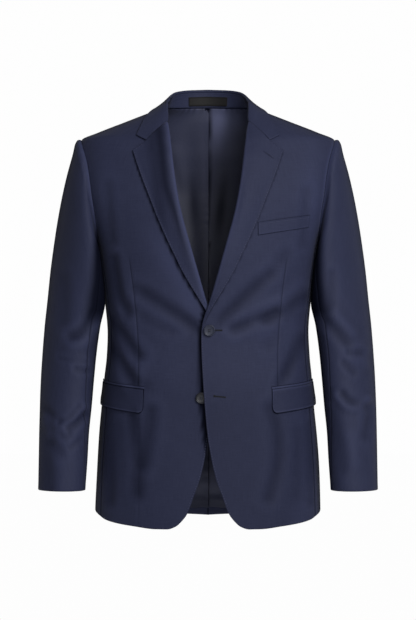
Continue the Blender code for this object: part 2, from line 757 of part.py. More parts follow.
def add_sleeve(side, first, last, name, material):
    """One of the two pieces of a sleeve, between two seams given as armhole angles."""
    angle, points, normals = sleeve_shape(side)
    normals[0] = seam_normals()
    loop = np.roll(points[0], -1, axis=0) - np.roll(points[0], 1, axis=0)
    away = unit(np.cross(normals[0], loop))
    outward = points[1] - points[0]
    away *= np.sign(np.sum(away * outward, axis=-1, keepdims=True))
    points[0] += away * SEAM_GAP
    index = (np.arange(first, last + 1, ARMHOLE_STEP) % 360) // ARMHOLE_STEP
    piece, piece_normals = points[:, index].copy(), normals[:, index]
    for column, inwards in ((0, 1), (-1, -2)):
        towards = unit(piece[:, inwards] - piece[:, column])
        piece[:, column] += towards * SEAM_GAP / 2
    return add_wall(name, mirrored(side, piece), mirrored(side, piece_normals), CLOTH, material)


def bent_row(first, corner, last, share):
    """Distances along a line from first to last that turns at a corner."""
    first, corner, last = (np.array(p, float) for p in (first, corner, last))

    def at(position):
        position = np.asarray(position, float)[..., None]
        low = first + (corner - first) * np.clip(position / share, 0, 1)
        high = (last - corner) * np.clip((position - share) / (1 - share), 0, 1)
        return low + high

    return at


def lapel_path(width):
    """Distance from the crease and height over the front, along a section of the lapel."""
    middle = LAPEL_ROLL + LAPEL_CLOTH / 2
    path = [(middle + FACING_STRIP, -FACING_DEPTH), (middle + FACING_STRIP / 2, -FACING_DEPTH)]
    for turn in np.radians(np.linspace(270, 90, 6)):
        height = LAPEL_ROLL if turn < math.pi else FACING_DEPTH
        path.append((middle + LAPEL_ROLL * math.cos(turn), height * math.sin(turn)))
    start = middle + 0.001
    whole = math.dist(GORGE_TOP, LAPEL_TIP)
    notch = (NOTCH_SHARE * whole - start) / (whole - start)
    for share in (0.08, 0.34, notch, 0.8, 1.0):
        spring = LAPEL_SPRING * math.sin(math.pi * min(share, 0.92)) * min(1.0, width / 0.05)
        path.append((start + (width - start) * share, LAPEL_ROLL + 0.0002 + spring))
    return np.array(path)


def lapel_shape(side):
    """Points and outward directions of a lapel, from the gorge and notch down to the break."""
    end = LAPEL_END[side]
    creases = np.linspace(GORGE_TOP[1], end, LAPEL_ROWS)
    edges = np.linspace(LAPEL_TIP[1], end - LAPEL_END_DROP, LAPEL_ROWS)
    gorge = bent_row(GORGE_TOP, NOTCH, LAPEL_TIP, NOTCH_SHARE)
    points, outward = [], []
    for row in range(LAPEL_ROWS):
        crease = np.array([float(ROLL_ACROSS(creases[row])), creases[row]])
        edge = np.array([float(LAPEL_ACROSS(edges[row])), edges[row]])
        path = lapel_path(np.linalg.norm(edge - crease))
        share = path[:, 0] / np.linalg.norm(edge - crease)
        place = crease + (edge - crease) * share[:, None]
        bend = max(0.0, 1 - row / (LAPEL_ROWS - 1) / GORGE_REACH) ** 2
        straight = np.array(GORGE_TOP) + np.subtract(LAPEL_TIP, GORGE_TOP) * share[:, None]
        place = place + (gorge(share) - straight) * bend
        bearing = bearing_of(place[:, 0], place[:, 1])
        surface, normal = front_surface(side, bearing, place[:, 1])
        points.append(surface + normal * path[:, 1:])
        outward.append(normal)
    return np.array(points), np.array(outward)


def section_normals(grid, outward):
    """Normals of a rolled piece, from its own sections, on the side that outward gives."""
    normals = grid_normals(grid)
    face = normals[:, -2]
    flip = np.sign(np.sum(face * outward, axis=-1))[:, None, None]
    return normals * flip


def add_lapel(side, material):
    grid, outward = lapel_shape(side)
    normals = section_normals(grid, outward[:, -2])
    name = "lapel_left" if side == LEFT else "lapel_right"
    return add_wall(name, mirrored(side, grid), mirrored(side, normals), LAPEL_CLOTH, material)


def neck_seam(along):
    """The neck seam from the centre back (0) to the gorge (1), on the left side."""
    along = np.asarray(along, float)
    back_share = np.clip(along / NECK_POINT_ALONG, 0, 1)
    back = body_point(
        math.pi - back_share * math.pi / 2,
        NAPE + (NECK_POINT - NAPE) * back_share,
    )
    front_share = np.clip((along - NECK_POINT_ALONG) / (1 - NECK_POINT_ALONG), 0, 1)
    line = inner_front_line()
    line = line[line[:, 1] >= GORGE_TOP[1] - 1e-6][::-1]
    measure = body_point(line[:, 0], line[:, 1])
    front = resample(measure, front_share.ravel(), measure).reshape(*along.shape, 3)
    return np.where((along < NECK_POINT_ALONG)[..., None], back, front)


def collar_frames(along):
    """For each place along the collar: neck seam, crease, outward and rising directions."""
    seam = neck_seam(along)
    small = 0.01
    tangent = unit(neck_seam(np.clip(along + small, 0, 1)) - neck_seam(np.clip(along - small, 0, 1)))
    upright = np.array([0.0, 0.0, 1.0])
    outward = unit(np.cross(tangent, np.broadcast_to(upright, tangent.shape)))
    outward *= np.sign(np.sum(outward * (seam - np.array([0.0, 0.01, 0.0])), axis=-1, keepdims=True))
    bearing = np.arctan2(seam[..., 0], -seam[..., 1])
    body = body_normal(bearing, seam[..., 2])
    front = smoothstep(NECK_POINT_ALONG, 1.0, along)[..., None]
    rising = unit(upright * (1 - front) + body * front)
    crease = (
        seam
        - outward * COLLAR_AT["lean"](along)[..., None]
        + rising * COLLAR_AT["rise"](along)[..., None]
    )
    return seam, crease, outward, rising


def collar_edge(along):
    """The collar's outer edge on the body, and the body's normal there."""
    bearing = np.radians(COLLAR_AT["edge_bearing"](along))
    height = COLLAR_AT["edge_height"](along)
    return body_point(bearing, height), body_normal(bearing, height)


def collar_fall_half(along):
    """Sections of the collar's fall: free at the back, and lying on the front near the gorge."""
    seam, crease, outward, rising = collar_frames(along)
    edge, edge_normal = collar_edge(along)
    middle = crease + outward * CREASE_RADIUS - rising * CREASE_RADIUS
    columns = [middle - outward * CREASE_RADIUS - rising * 0.002]
    for turn in np.radians((180, 130, 80, 30)):
        columns.append(middle + (outward * math.cos(turn) + rising * math.sin(turn)) * CREASE_RADIUS)
    start = columns[-1]
    raised = edge + edge_normal * COLLAR_EDGE_LIFT
    belly = unit(edge_normal + rising) * COLLAR_AT["belly"](along)[..., None]
    control = (start + raised) / 2 + belly
    lying = smoothstep(NECK_POINT_ALONG, 0.96, along)[:, None]
    near_end = smoothstep(0.72, 1.0, along)[:, None] ** 1.5
    for step, cut in zip(COLLAR_FALL_STEPS, collar_cut()):
        free = start * (1 - step) ** 2 + control * 2 * step * (1 - step) + raised * step**2
        flat = (seam * (1 - step) + edge * step)[:, ::2] + near_end * cut
        bearing = bearing_of(flat[:, 0], flat[:, 1])
        lift = 2 * CREASE_RADIUS * (1 - step) + COLLAR_EDGE_LIFT * step
        lift += COLLAR_SPRING * math.sin(math.pi * step)
        laid = body_point(bearing, flat[:, 1]) + body_normal(bearing, flat[:, 1]) * lift
        columns.append(free * (1 - lying) + laid * lying)
    return np.stack(columns, axis=1)


def collar_cut():
    """How far each step of the collar's end is moved, to lie along the gorge and the notch."""
    steps = np.array(COLLAR_FALL_STEPS)
    path = bent_row(GORGE_TOP, NOTCH, COLLAR_CORNER, COLLAR_NOTCH_SHARE)(steps)
    straight = np.array(GORGE_TOP) + np.subtract(COLLAR_CORNER, GORGE_TOP) * steps[:, None]
    gorge = unit(np.subtract(NOTCH, GORGE_TOP))
    return path - straight + np.array([-gorge[1], gorge[0]]) * GORGE_GAP


def whole_collar(half):
    """A strip from one gorge to the other, from the half that starts at the centre back."""
    return np.concatenate([mirrored(-1, half[::-1]), half[1:]])


def collar_along():
    return np.linspace(0.0, 1.0, COLLAR_HALF_COLUMNS + 1)


def add_collar_fall(material):
    along = collar_along()
    half = collar_fall_half(along)
    grid = whole_collar(half)
    normals = grid_normals(grid)
    reference = whole_collar(collar_edge(along)[1])
    normals *= np.sign(np.sum(normals[:, -2] * reference, axis=-1))[:, None, None]
    return add_wall("collar_fall", grid, normals, LAPEL_CLOTH, material)


def collar_stand_half(along, shares):
    """The stand inside the neck, from below the neck seam up to just under the crease."""
    seam, crease, outward, rising = collar_frames(along)
    bottom = seam - outward * STAND_INSET - rising * STAND_LAP
    top = crease - rising * STAND_TOP_DROP
    return np.stack([bottom + (top - bottom) * share for share in shares], axis=1)


def add_collar_stand(material):
    along = collar_along()[:STAND_COLUMNS]
    grid = whole_collar(collar_stand_half(along, STAND_LEVELS))
    normals = grid_normals(grid)
    centre = np.array([0.0, 0.01, 0.0])
    normals *= np.sign(np.sum((grid - centre) * normals, axis=-1, keepdims=True))
    return add_wall("collar_stand", grid, normals, CLOTH, material)


def add_label(material):
    along = np.linspace(0.0, 0.36, 5)
    shares = np.linspace(LABEL_BOTTOM, LABEL_TOP, 3)
    half = collar_stand_half(along, shares)
    reach = half[:, 1, 0]
    along = np.interp(np.linspace(0, LABEL_HALF_WIDTH, 5), reach, along)
    grid = whole_collar(collar_stand_half(along, shares))
    normals = grid_normals(grid)
    centre = np.array([0.0, 0.01, 0.0])
    normals *= -np.sign(np.sum((grid - centre) * normals, axis=-1, keepdims=True))
    lift = CLOTH / 2 + LABEL_GAP + STRIP_CLOTH / 2
    return add_wall("label", grid + normals * lift, normals, STRIP_CLOTH, material)


def add_lining(side, material):
    """Half of the back's lining. At the centre the right half laps over the left one."""
    domain = back_panel_domain()
    points = body_point(domain[..., 0], domain[..., 1])
    normals = body_normal(domain[..., 0], domain[..., 1])
    rise = points[1] - points[0]
    points[0] += rise * LINING_HEM / rise[:, 2:]
    towards = unit(points[:, -2] - points[:, -1])
    points[:, -1] += towards * LINING_INSET
    below = unit(points[-2] - points[-1])
    points[-1] += below * LINING_INSET
    lift = np.full(points.shape[:2], CLOTH / 2 + LINING_GAP + LINING_CLOTH / 2)
    if side == RIGHT:
        points[:, 0, 0] -= PLEAT_LAP
        near = 1 - smoothstep(0.0, PLEAT_REACH, points[..., 0] + PLEAT_LAP)
        lift = lift + PLEAT_STAND * near
    points = points - normals * lift[..., None]
    name = "lining_left" if side == LEFT else "lining_right"
    return add_wall(name, mirrored(side, points), mirrored(side, normals), LINING_CLOTH, material)


def rounded_drop(share, width, corner):
    """How much shorter a flap is near its ends, where its lower corners are rounded."""
    distance = np.minimum(share, 1 - share) * width
    inside = np.clip(1 - distance / corner, 0, 1)
    return corner * (1 - np.sqrt(1 - inside**2))


def pocket_line(share):
    """Bearing and height of the mouth of the hip pocket."""
    share = np.asarray(share, float)
    bearing = np.radians(FLAP_FRONT_BEARING + (FLAP_BACK_BEARING - FLAP_FRONT_BEARING) * share)
    return bearing, FLAP_FRONT_HEIGHT + (FLAP_BACK_HEIGHT - FLAP_FRONT_HEIGHT) * share


def add_flap(side, material):
    share = np.concatenate([[0, 0.03, 0.08], np.linspace(0.16, 0.84, 7), [0.92, 0.97, 1.0]])
    bearing, height = pocket_line(share)
    depth = FLAP_DEPTH - rounded_drop(share, FLAP_WIDTH, FLAP_CORNER)
    rows, normal_rows = [], []
    for level in (0.0, 0.35, 0.7, 1.0):
        z = height - depth * level
        surface, normal = on_panel(side, bearing, z)
        lift = CLOTH / 2 + SEAM_GAP + FLAP_CLOTH / 2 + FLAP_SPRING * level**1.5
        rows.append(surface + normal * lift)
        normal_rows.append(normal)
    name = "flap_left" if side == LEFT else "flap_right"
    points, normals = np.array(rows), np.array(normal_rows)
    return add_wall(name, mirrored(side, points), mirrored(side, normals), FLAP_CLOTH, material)


def add_jetting(side, material):
    """The narrow welt above the flap."""
    bearing, height = pocket_line(np.linspace(0.0, 1.0, 12))
    rows, normal_rows = [], []
    for level in (0.0, 1.0):
        z = height + SEAM_GAP + JETTING_DEPTH * level
        surface, normal = on_panel(side, bearing, z)
        rows.append(surface + normal * (CLOTH / 2 + SEAM_GAP + STRIP_CLOTH / 2))
        normal_rows.append(normal)
    name = "jetting_left" if side == LEFT else "jetting_right"
    points, normals = np.array(rows), np.array(normal_rows)
    return add_wall(name, mirrored(side, points), mirrored(side, normals), STRIP_CLOTH, material)


def add_chest_welt(material):
    low_in, high_in, high_out, low_out = (np.array(c) for c in WELT_CORNERS)
    share = np.linspace(0, 1, 8)[:, None]
    rows, normal_rows = [], []
    for level in (0.0, 0.5, 1.0):
        first = low_in + (high_in - low_in) * level
        last = low_out + (high_out - low_out) * level
        place = first + (last - first) * share
        surface, normal = on_panel(LEFT, bearing_of(place[:, 0], place[:, 1]), place[:, 1])
        rows.append(surface + normal * (CLOTH / 2 + WELT_GAP + STRIP_CLOTH / 2))
        normal_rows.append(normal)
    return add_wall("chest_welt", np.array(rows), np.array(normal_rows), STRIP_CLOTH, material)


def button_profile():
    """Radius and height above the cloth, from the foot of the shank to the dish."""
    top = SHANK_LENGTH + BUTTON_THICKNESS
    return (
        (SHANK_RADIUS, 0.0),
        (SHANK_RADIUS, SHANK_LENGTH),
        (BUTTON_RADIUS - BUTTON_RIM, SHANK_LENGTH),
        (BUTTON_RADIUS, SHANK_LENGTH + BUTTON_ROUNDING * 1.6),
        (BUTTON_RADIUS, top - BUTTON_ROUNDING),
        (BUTTON_RADIUS - BUTTON_ROUNDING, top),
        (BUTTON_RADIUS - BUTTON_RIM, top - BUTTON_DISH * 0.3),
        (BUTTON_RADIUS - BUTTON_RIM * 1.5, top - BUTTON_DISH),
    )


def add_button(name, place, side, material):
    """A turned button on a short thread shank, on the front of the given side."""
    across, height = place[0] * side, place[1]
    bearing = np.array([bearing_of(across, height)])
    surface, normal = on_panel(side, bearing, np.array([height]))
    surface, normal = mirrored(side, surface)[0], mirrored(side, normal)[0]
    base = surface + normal * (CLOTH / 2 + BUTTON_GAP)
    right = unit(np.cross(np.array([0.0, 0.0, 1.0]), normal))
    up = np.cross(normal, right)
    count = BUTTON_SIDES
    turns = np.linspace(0, 2 * math.pi, count, endpoint=False)
    profile = button_profile()
    vertices = [base]
    for radius, rise in profile:
        for turn in turns:
            spoke = right * math.cos(turn) + up * math.sin(turn)
            vertices.append(base + spoke * radius + normal * rise)
    vertices.append(base + normal * profile[-1][1])
    vertices = np.array(vertices)
    faces = []
    last = len(vertices) - 1
    for k in range(count):
        after = (k + 1) % count
        faces.append((0, 1 + after, 1 + k))
        for ring in range(len(profile) - 1):
            low = 1 + ring * count
            faces.append((low + k, low + after, low + count + after, low + count + k))
        top = 1 + (len(profile) - 1) * count
        faces.append((top + k, top + after, last))
    side = 1 if signed_volume(vertices, faces) > 0 else -1
    return add_object(name, vertices, faces, material, side)


def main():
    clear_scene()
    materials = make_materials()
    wool = materials["wool"]
    for side, word in ((LEFT, "left"), (RIGHT, "right")):
        add_front(side, wool)
        add_side(side, wool)
        add_back(side, wool)
        add_sleeve(side, SLEEVE_BACK_SEAM - 360, SLEEVE_FRONT_SEAM, f"top_sleeve_{word}", wool)
        add_sleeve(side, SLEEVE_FRONT_SEAM, SLEEVE_BACK_SEAM, f"under_sleeve_{word}", wool)
        add_lapel(side, wool)
        add_flap(side, wool)
        add_jetting(side, wool)
        add_lining(side, materials["lining"])
    add_chest_welt(wool)
    add_collar_fall(wool)
    add_collar_stand(wool)
    add_label(materials["label"])
    add_button("button_top", TOP_BUTTON, LEFT, materials["button"])
    add_button("button_lower", LOWER_BUTTON, RIGHT, materials["button"])


main()
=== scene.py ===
import math

import bpy
import numpy as np
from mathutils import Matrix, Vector


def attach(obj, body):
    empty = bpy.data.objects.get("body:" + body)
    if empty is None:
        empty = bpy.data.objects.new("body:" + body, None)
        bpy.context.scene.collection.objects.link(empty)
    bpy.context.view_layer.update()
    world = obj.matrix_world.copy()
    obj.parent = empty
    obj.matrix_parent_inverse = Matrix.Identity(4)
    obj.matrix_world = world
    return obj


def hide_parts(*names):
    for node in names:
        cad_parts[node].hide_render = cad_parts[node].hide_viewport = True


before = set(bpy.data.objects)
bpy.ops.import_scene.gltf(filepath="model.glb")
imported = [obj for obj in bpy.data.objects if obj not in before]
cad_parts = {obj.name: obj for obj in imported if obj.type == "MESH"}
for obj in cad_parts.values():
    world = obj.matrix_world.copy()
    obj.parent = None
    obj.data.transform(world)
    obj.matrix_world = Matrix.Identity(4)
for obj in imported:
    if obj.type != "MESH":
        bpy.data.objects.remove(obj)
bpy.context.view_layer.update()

# A dark navy suit jacket with two buttons, filled out as if worn. Every sewn piece is
# made again here as a fine cloth shell on the surface that its solid was built on, with
# soft folds, pressed edges, seams and stitches. Metres, +Z up, the fronts face -Y, and
# the wearer's left side is at +X.

LEFT, RIGHT = 1, -1
MM = 0.001

# Cloth thicknesses and the gaps at the seams
CLOTH = 2.0 * MM
LAPEL_CLOTH = 2.2 * MM
FLAP_CLOTH = 1.8 * MM
STRIP_CLOTH = 1.2 * MM
LINING_CLOTH = 1.0 * MM
SEAM_GAP = 0.002 * MM

# Tables of rows are in millimetres, with angles in degrees. Single values and points are in metres.
# The body as level rings: half width, depth to the front and back of the shoulder line,
# and squareness, where 2 is an ellipse
BODY_COLUMNS = ("height", "half_width", "front", "back", "squareness")
BODY_RINGS = (
    (20, 50, 34, 66, 2.05), (14, 65, 37, 70.5, 2.05),
    (8, 79.2, 40, 71.5, 2.05), (0, 99, 47, 74.5, 2.1),
    (-20, 150.3, 62, 82, 2.15), (-40, 201.2, 77, 89.5, 2.2),
    (-53.5, 231, 86, 94, 2.25), (-72, 234.5, 94, 99, 2.3),
    (-100, 233, 105, 107, 2.35), (-150, 226.5, 117, 115.5, 2.4),
    (-200, 213, 124, 117, 2.4), (-256, 199, 126, 112, 2.4),
    (-300, 193, 123.5, 105, 2.35), (-346, 187.8, 119, 99, 2.3),
    (-405, 182.9, 114.5, 96, 2.3), (-448, 185, 114.5, 97.5, 2.3),
    (-487, 189.3, 116, 101, 2.3), (-540, 193.7, 119, 107, 2.3),
    (-600, 199, 122.5, 113.5, 2.3), (-660, 203, 126, 118, 2.3),
    (-715, 205.3, 129, 121.5, 2.3), (-780, 206.5, 131, 124, 2.3),
)
NECK_POINT = 0.008
NAPE = 0.014
NAPE_CURVE = 1.5

# The hem by bearing: 0 degrees is the centre front, 180 the centre back
HEM_COLUMNS = ("bearing", "height")
HEM = (
    (19.0, -738.3), (24.6, -750.8), (30.5, -755.6), (38.0, -755.6),
    (51.5, -751.5), (60.0, -748.5), (70.0, -743.2), (78.5, -735),
    (90.0, -728.5), (110.0, -733.5), (135.0, -744), (180.0, -750),
)

# Edges seen from the front, by height: the front edge, the lapel's crease and its edge
EDGE_COLUMNS = ("height", "across")
FRONT_EDGE = (
    (-330, -1), (-360, -5.8), (-378, -8.8), (-395, -11.4),
    (-421, -12.3), (-450, -11.4), (-478, -10), (-513, -7.9),
    (-545, -5.4), (-577, -2.5), (-623, 4.6), (-660, 12.7),
    (-696, 25.3), (-728, 38.1), (-738.3, 46.3), (-760, 64),
)
ROLL_LINE = (
    (8, 82), (-4, 82.5), (-14, 78), (-24, 72.7),
    (-63, 66.4), (-119, 59.5), (-166.5, 51.7), (-202.7, 43.4),
    (-251.3, 29.9), (-302.7, 15.4), (-351.5, 1.6), (-378, -7.2),
    (-396, -11.5),
)
LAPEL_EDGE = (
    (-77.5, 135.3), (-90, 131), (-125.8, 118.6), (-162.9, 104.1),
    (-203.4, 88), (-241.9, 70.8), (-273.1, 55.6), (-294.1, 45.5),
    (-328.3, 25.8), (-353.4, 10.8), (-365.6, 3.6), (-380.4, -3.6),
    (-396, -9.8),
)
HEM_CORNER = -0.7383
BREAK = -0.396
WAIST = -0.405
CHEST_ROW = -0.215
BLADE_ROW = -0.19
BACK_WIDTH = 0.20
SIDE_WIDTH = 0.10

# The gorge, notch and points of lapel and collar
GORGE_TOP = (0.0717, -0.0240)
NOTCH = (0.1100, -0.0600)
LAPEL_TIP = (0.1353, -0.0775)
COLLAR_CORNER = (0.1290, -0.0500)
NOTCH_SHARE = 0.63
COLLAR_NOTCH_SHARE = 0.71
LAPEL_ROLL = 0.0029
LAPEL_SPRING = 0.0035
FACING_STRIP = 0.010
FACING_DEPTH = 0.0041

# The cloth stands off the chest along the lapel's roll, most in its middle
ROLL_LIFT = 0.0062
ROLL_REACH = 0.030
GORGE_BLEND_ROWS = 14
EDGE_SPRING = 0.0018
COLLAR_ROLL_RISE = 0.0013
LAPEL_END = {LEFT: -0.393, RIGHT: -0.384}
LAPEL_END_DROP = 0.002
GORGE_REACH = 0.42

# The left front stands off the right one where they lap
LAP_LIFT = 0.0050
LAP_SINK = 0.0026
LAP_REACH = 0.105

# The armhole, and the seams that reach it, in degrees from the shoulder tip forwards
ARMHOLE_MIDDLE = -0.1548
ARMHOLE_HALF_HEIGHT = 0.1013
ARMHOLE_HALF_WIDTH = 0.054
ARMHOLE_STEP = 3
FRONT_SEAM_TOP = 135
BACK_SEAM_TOP = 240
SLEEVE_FRONT_SEAM = 150
SLEEVE_BACK_SEAM = 255
FRONT_SEAM_BEARING = 74.5
FRONT_SEAM_WAIST = 76.5
BACK_SEAM_BEARING = 108.0
BACK_SEAM_WAIST = 112.0

# The sleeve as rings from its head to its cuff
SLEEVE_COLUMNS = (
    "outer_x", "outer_z", "inner_x", "inner_z", "half_depth", "middle_y", "turn", "front_seam",
)
SLEEVE_RINGS = (
    (231, -53.5, 199, -256.1, 54, 0, 0.0, 150),
    (236.6, -53.5, 201, -256.8, 56, 0, 1.0, 149),
    (241.8, -60, 201.5, -258, 59, 0, 2.0, 147),
    (248, -79.6, 201, -260, 62.5, 0, 5.0, 144),
    (259.2, -116.8, 199, -265, 66.5, 0, 9.0, 139),
    (269.6, -158.9, 196.2, -273, 69.5, -1, 14.0, 133),
    (278.1, -203.2, 194.3, -285, 71.5, -2, 18.0, 127),
    (284.8, -247.8, 192.1, -300, 72.2, -3, 21.0, 121),
    (290.4, -294.6, 189.7, -319, 71.5, -4.5, 22.0, 117),
    (294.9, -345.7, 188, -350, 69.5, -7, 20.0, 114),
    (299.5, -393.4, 196.9, -393.4, 66.8, -10.5, 17.0, 114),
    (303, -444.5, 204, -444.5, 64.5, -15, 14.0, 118),
    (305.3, -491.8, 208.4, -491.8, 62.2, -21.5, 12.0, 124),
    (306.4, -539, 212.3, -539, 59.8, -29, 10.0, 131),
    (306.9, -587.8, 217, -587.8, 57, -37, 9.0, 139),
    (307.1, -636.5, 219.5, -636.5, 54, -45, 8.0, 147),
    (307.4, -689.8, 223.1, -689.8, 50.8, -53, 8.0, 153),
)
HEAD_RINGS = 7

# The collar from the centre back (0) to the gorge (1)
COLLAR_COLUMNS = ("along", "lean", "rise", "edge_bearing", "edge_height", "belly")
COLLAR = (
    (0.0, 0, 31.5, 180.0, 3, 4), (0.2, 1, 30.8, 152.0, 3, 4.2),
    (0.4, 3.5, 27.5, 124.0, 3.5, 3.6), (0.55, 6, 20, 102.0, 3, 1.8),
    (0.65, 8.6, 15, 90.0, 0.8, 0.6), (0.75, 9, 11, 80.5, -3.5, 0.6),
    (0.8, 9.8, 9.3, 76.4, -8.8, 1), (0.88, 10.6, 7, 70.0, -20, 2),
    (0.94, 8.6, 5.5, 65.0, -34, 2.6), (1.0, 4.8, 4.2, 61.0, -50, 3),
)
NECK_POINT_ALONG = 0.65
CREASE_RADIUS = 0.0017
CREASE_FLANK = 0.0046
STAND_LAP = 0.0015
STAND_INSET = 0.0030
STAND_TOP_DROP = 0.00435
COLLAR_EDGE_LIFT = 0.0032
COLLAR_SEAM_LIFT = 0.0048
COLLAR_SPRING = 0.0012
GORGE_GAP = 0.0001

# Pockets
FLAP_FRONT_BEARING = 48.5
FLAP_BACK_BEARING = 88.0
FLAP_FRONT_HEIGHT = -0.5066
FLAP_BACK_HEIGHT = -0.4942
FLAP_DEPTH = 0.0445
FLAP_WIDTH = 0.152
FLAP_CORNER = 0.012
FLAP_SPRING = 0.0016
JETTING_DEPTH = 0.0050
WELT_GAP = 0.0005
WELT_WIDTH = 0.095
WELT_DEPTH = 0.023
WELT_CORNERS = ((0.0890, -0.2308), (0.0886, -0.2070), (0.1833, -0.1924), (0.1804, -0.2153))

# Buttons, buttonholes and label
BUTTON_RADIUS = 0.0103
BUTTON_THICKNESS = 0.0034
BUTTON_RIM = 0.0022
BUTTON_DISH = 0.0009
SHANK_LENGTH = 0.0010
BUTTON_GAP = 0.0005
TOP_BUTTON = (0.0023, -0.4004)
LOWER_BUTTON = (-0.0118, -0.5216)
HOLE_RADIUS = 0.00115
HOLE_SPACING = 0.0032
TOP_BUTTONHOLE = ((0.0035, -0.4000), (0.0252, -0.4003))
LOWER_BUTTONHOLE = ((0.0100, -0.5180), (0.0315, -0.5203))
LAPEL_BUTTONHOLE = ((0.0985, -0.0822), (0.1175, -0.0940))
LABEL_HALF_WIDTH = 0.0368
LABEL_BOTTOM = 0.10
LABEL_TOP = 0.71
LABEL_GAP = 0.0007

# The lining of the back
LINING_HEM = 0.013
LINING_INSET = 0.003
LINING_TOP_INSET = 0.0017
LINING_GAP = 0.0005
PLEAT_EDGE = 0.0014
PLEAT_UNDER = 0.012
PLEAT_STAND = 0.0040
PLEAT_REACH = 0.045

# The front dart, by height
DART = (
    (-270.8, 141.3), (-314, 135.3), (-406.3, 126.5), (-450, 124.6), (-494.8, 125.3),
)
DART_TOP = -0.2708
DART_DEPTH = 0.7 * MM
DART_HALF_WIDTH = 0.8 * MM

# The largest soft folds, as the solids have them: first and last point seen from the
# front, spread and depth
FRONT_FOLDS = {
    LEFT: (
        (21, -385, 90, -315, 15, 2.2), (140, -476, 166, -418, 15, 1.8),
        (166, -585, 163, -700, 14, 2),
    ),
    RIGHT: (
        (22, -394, 110, -334, 14, 2.2), (134, -562, 125, -695, 16, 2.2),
        (168, -570, 172, -700, 14, 1.6),
    ),
}
FOLD_FADE = 0.030
CREASE_RIDGE = 0.45

# Folds round the elbow: angle of the middle, height, reach in degrees, spread and depth
ELBOW_FOLDS = {
    LEFT: (
        (110, -402, 50, 22, 1), (60, -491.8, 50, 22, 0.3), (100, -533, 45, 20, 0.8),
    ),
    RIGHT: (
        (110, -402, 45, 22, 1), (110, -491.8, 55, 20, 0.3), (45, -548, 40, 20, 0.8),
    ),
}

# Smaller creases, each through three points seen from the front, with spread and depth
CREASE_COLUMNS = (
    "first_x", "first_z", "middle_x", "middle_z", "last_x", "last_z", "spread", "depth",
)
FRONT_CREASES = {
    LEFT: (
        (18, -386, 68, -334, 112, -300, 9.5, 1.7), (108, -300, 122, -288, 140, -262, 9.5, 1),
        (46, -397, 88, -382, 120, -366, 9.5, 3.4), (106, -384, 140, -370, 176, -338, 11.5, 3.7),
        (108, -428, 130, -386, 174, -372, 10, 1.1), (128, -496, 150, -462, 174, -412, 9, 1.8),
        (178, -150, 176, -195, 172, -245, 9, 1.3), (112, -540, 142, -606, 108, -700, 11, 2),
        (184, -570, 186, -640, 186, -712, 7, 1.4),
    ),
    RIGHT: (
        (20, -396, 62, -366, 130, -326, 9.5, 1.8), (64, -402, 104, -390, 143, -360, 8.5, 1.2),
        (128, -446, 147, -424, 174, -382, 11, 4.2), (134, -494, 153, -460, 179, -422, 10.5, 4.2),
        (171, -272, 168, -318, 148, -372, 9, 3), (182, -140, 180, -190, 174, -240, 9, 1.4),
        (104, -545, 106, -590, 116, -640, 11, 2.6), (136, -556, 124, -610, 128, -690, 10, 1.6),
        (184, -552, 180, -630, 178, -712, 8, 1.8),
    ),
}
BACK_CREASES = {
    LEFT: (
        (30, -400, 75, -415, 130, -398, 11, 1.2), (140, -250, 150, -310, 150, -370, 12, 1.5),
        (158, -120, 165, -180, 158, -235, 10, 1.4), (70, -540, 78, -620, 74, -710, 14, 1.5),
    ),
    RIGHT: (
        (22, -416, 70, -404, 126, -412, 11, 1.1), (132, -240, 146, -300, 146, -362, 12, 1.4),
        (162, -130, 166, -185, 160, -240, 10, 1.3), (92, -560, 98, -630, 96, -715, 15, 1.6),
    ),
}

# Creases on the front of the sleeves, as seen from the front. Depth below zero makes a ridge.
SLEEVE_CREASES = {
    LEFT: (
        (214, -388, 230, -400, 252, -424, 9, 2.3), (226, -370, 243, -386, 260, -404, 8.5, -1.6),
        (255, -441, 265, -443, 276, -441, 6, 2), (245, -460, 254, -470, 263, -477, 6, 1.8),
        (262, -451, 272, -456, 284, -462, 8, -1.3), (242, -515, 262, -538, 282, -535, 7, 2.1),
        (231, -518, 255, -558, 290, -526, 6, -1.9), (292, -540, 290, -565, 284, -592, 8.5, 1.9),
        (226, -550, 234, -600, 240, -650, 11, 1), (254, -590, 262, -615, 262, -640, 10, -1.1),
        (222, -300, 224, -330, 219, -362, 8, 1.6),
    ),
    RIGHT: (
        (210, -380, 227, -405, 246, -412, 9, 3.2), (220, -422, 232, -430, 246, -426, 8.5, -1.6),
        (222, -458, 245, -456, 269, -451, 4, 1.2), (218, -474, 227, -472, 237, -470, 5.5, 2),
        (300, -534, 286, -552, 267, -563, 6.2, 1.1), (296, -560, 292, -575, 288, -590, 7, -1.4),
        (267, -566, 250, -562, 231, -538, 4.5, 2.1), (250, -575, 236, -569, 223, -552, 6.6, 3.6),
        (263, -589, 257, -593, 249, -587, 6, 2), (292, -582, 281, -604, 267, -619, 10, 1.7),
        (291, -610, 288, -640, 286, -690, 11, 1.7), (248, -611, 240, -605, 231, -597, 5, 1.2),
        (262, -310, 258, -345, 262, -385, 11, 1.2),
    ),
}

# Creases on the back of the sleeves, as seen from behind
ELBOW_CREASES = {
    LEFT: (
        (206, -372, 236, -384, 262, -366, 11, 1.8), (214, -468, 240, -462, 270, -478, 9, 1.4),
        (226, -556, 248, -566, 276, -552, 8, 1.1), (238, -200, 228, -250, 226, -310, 12, 1),
    ),
    RIGHT: (
        (208, -386, 238, -370, 266, -382, 11, 1.7), (212, -452, 244, -470, 268, -460, 9, 1.3),
        (230, -576, 252, -562, 280, -574, 8, 1.2), (240, -210, 232, -260, 224, -300, 12, 1.1),
    ),
}

# Seams and edges
SEAM_SINK = 0.7 * MM
SEAM_WIDTH = 1.5 * MM
EDGE_ROUNDING = 0.7 * MM
SEAM_ROUNDING = 0.12 * MM

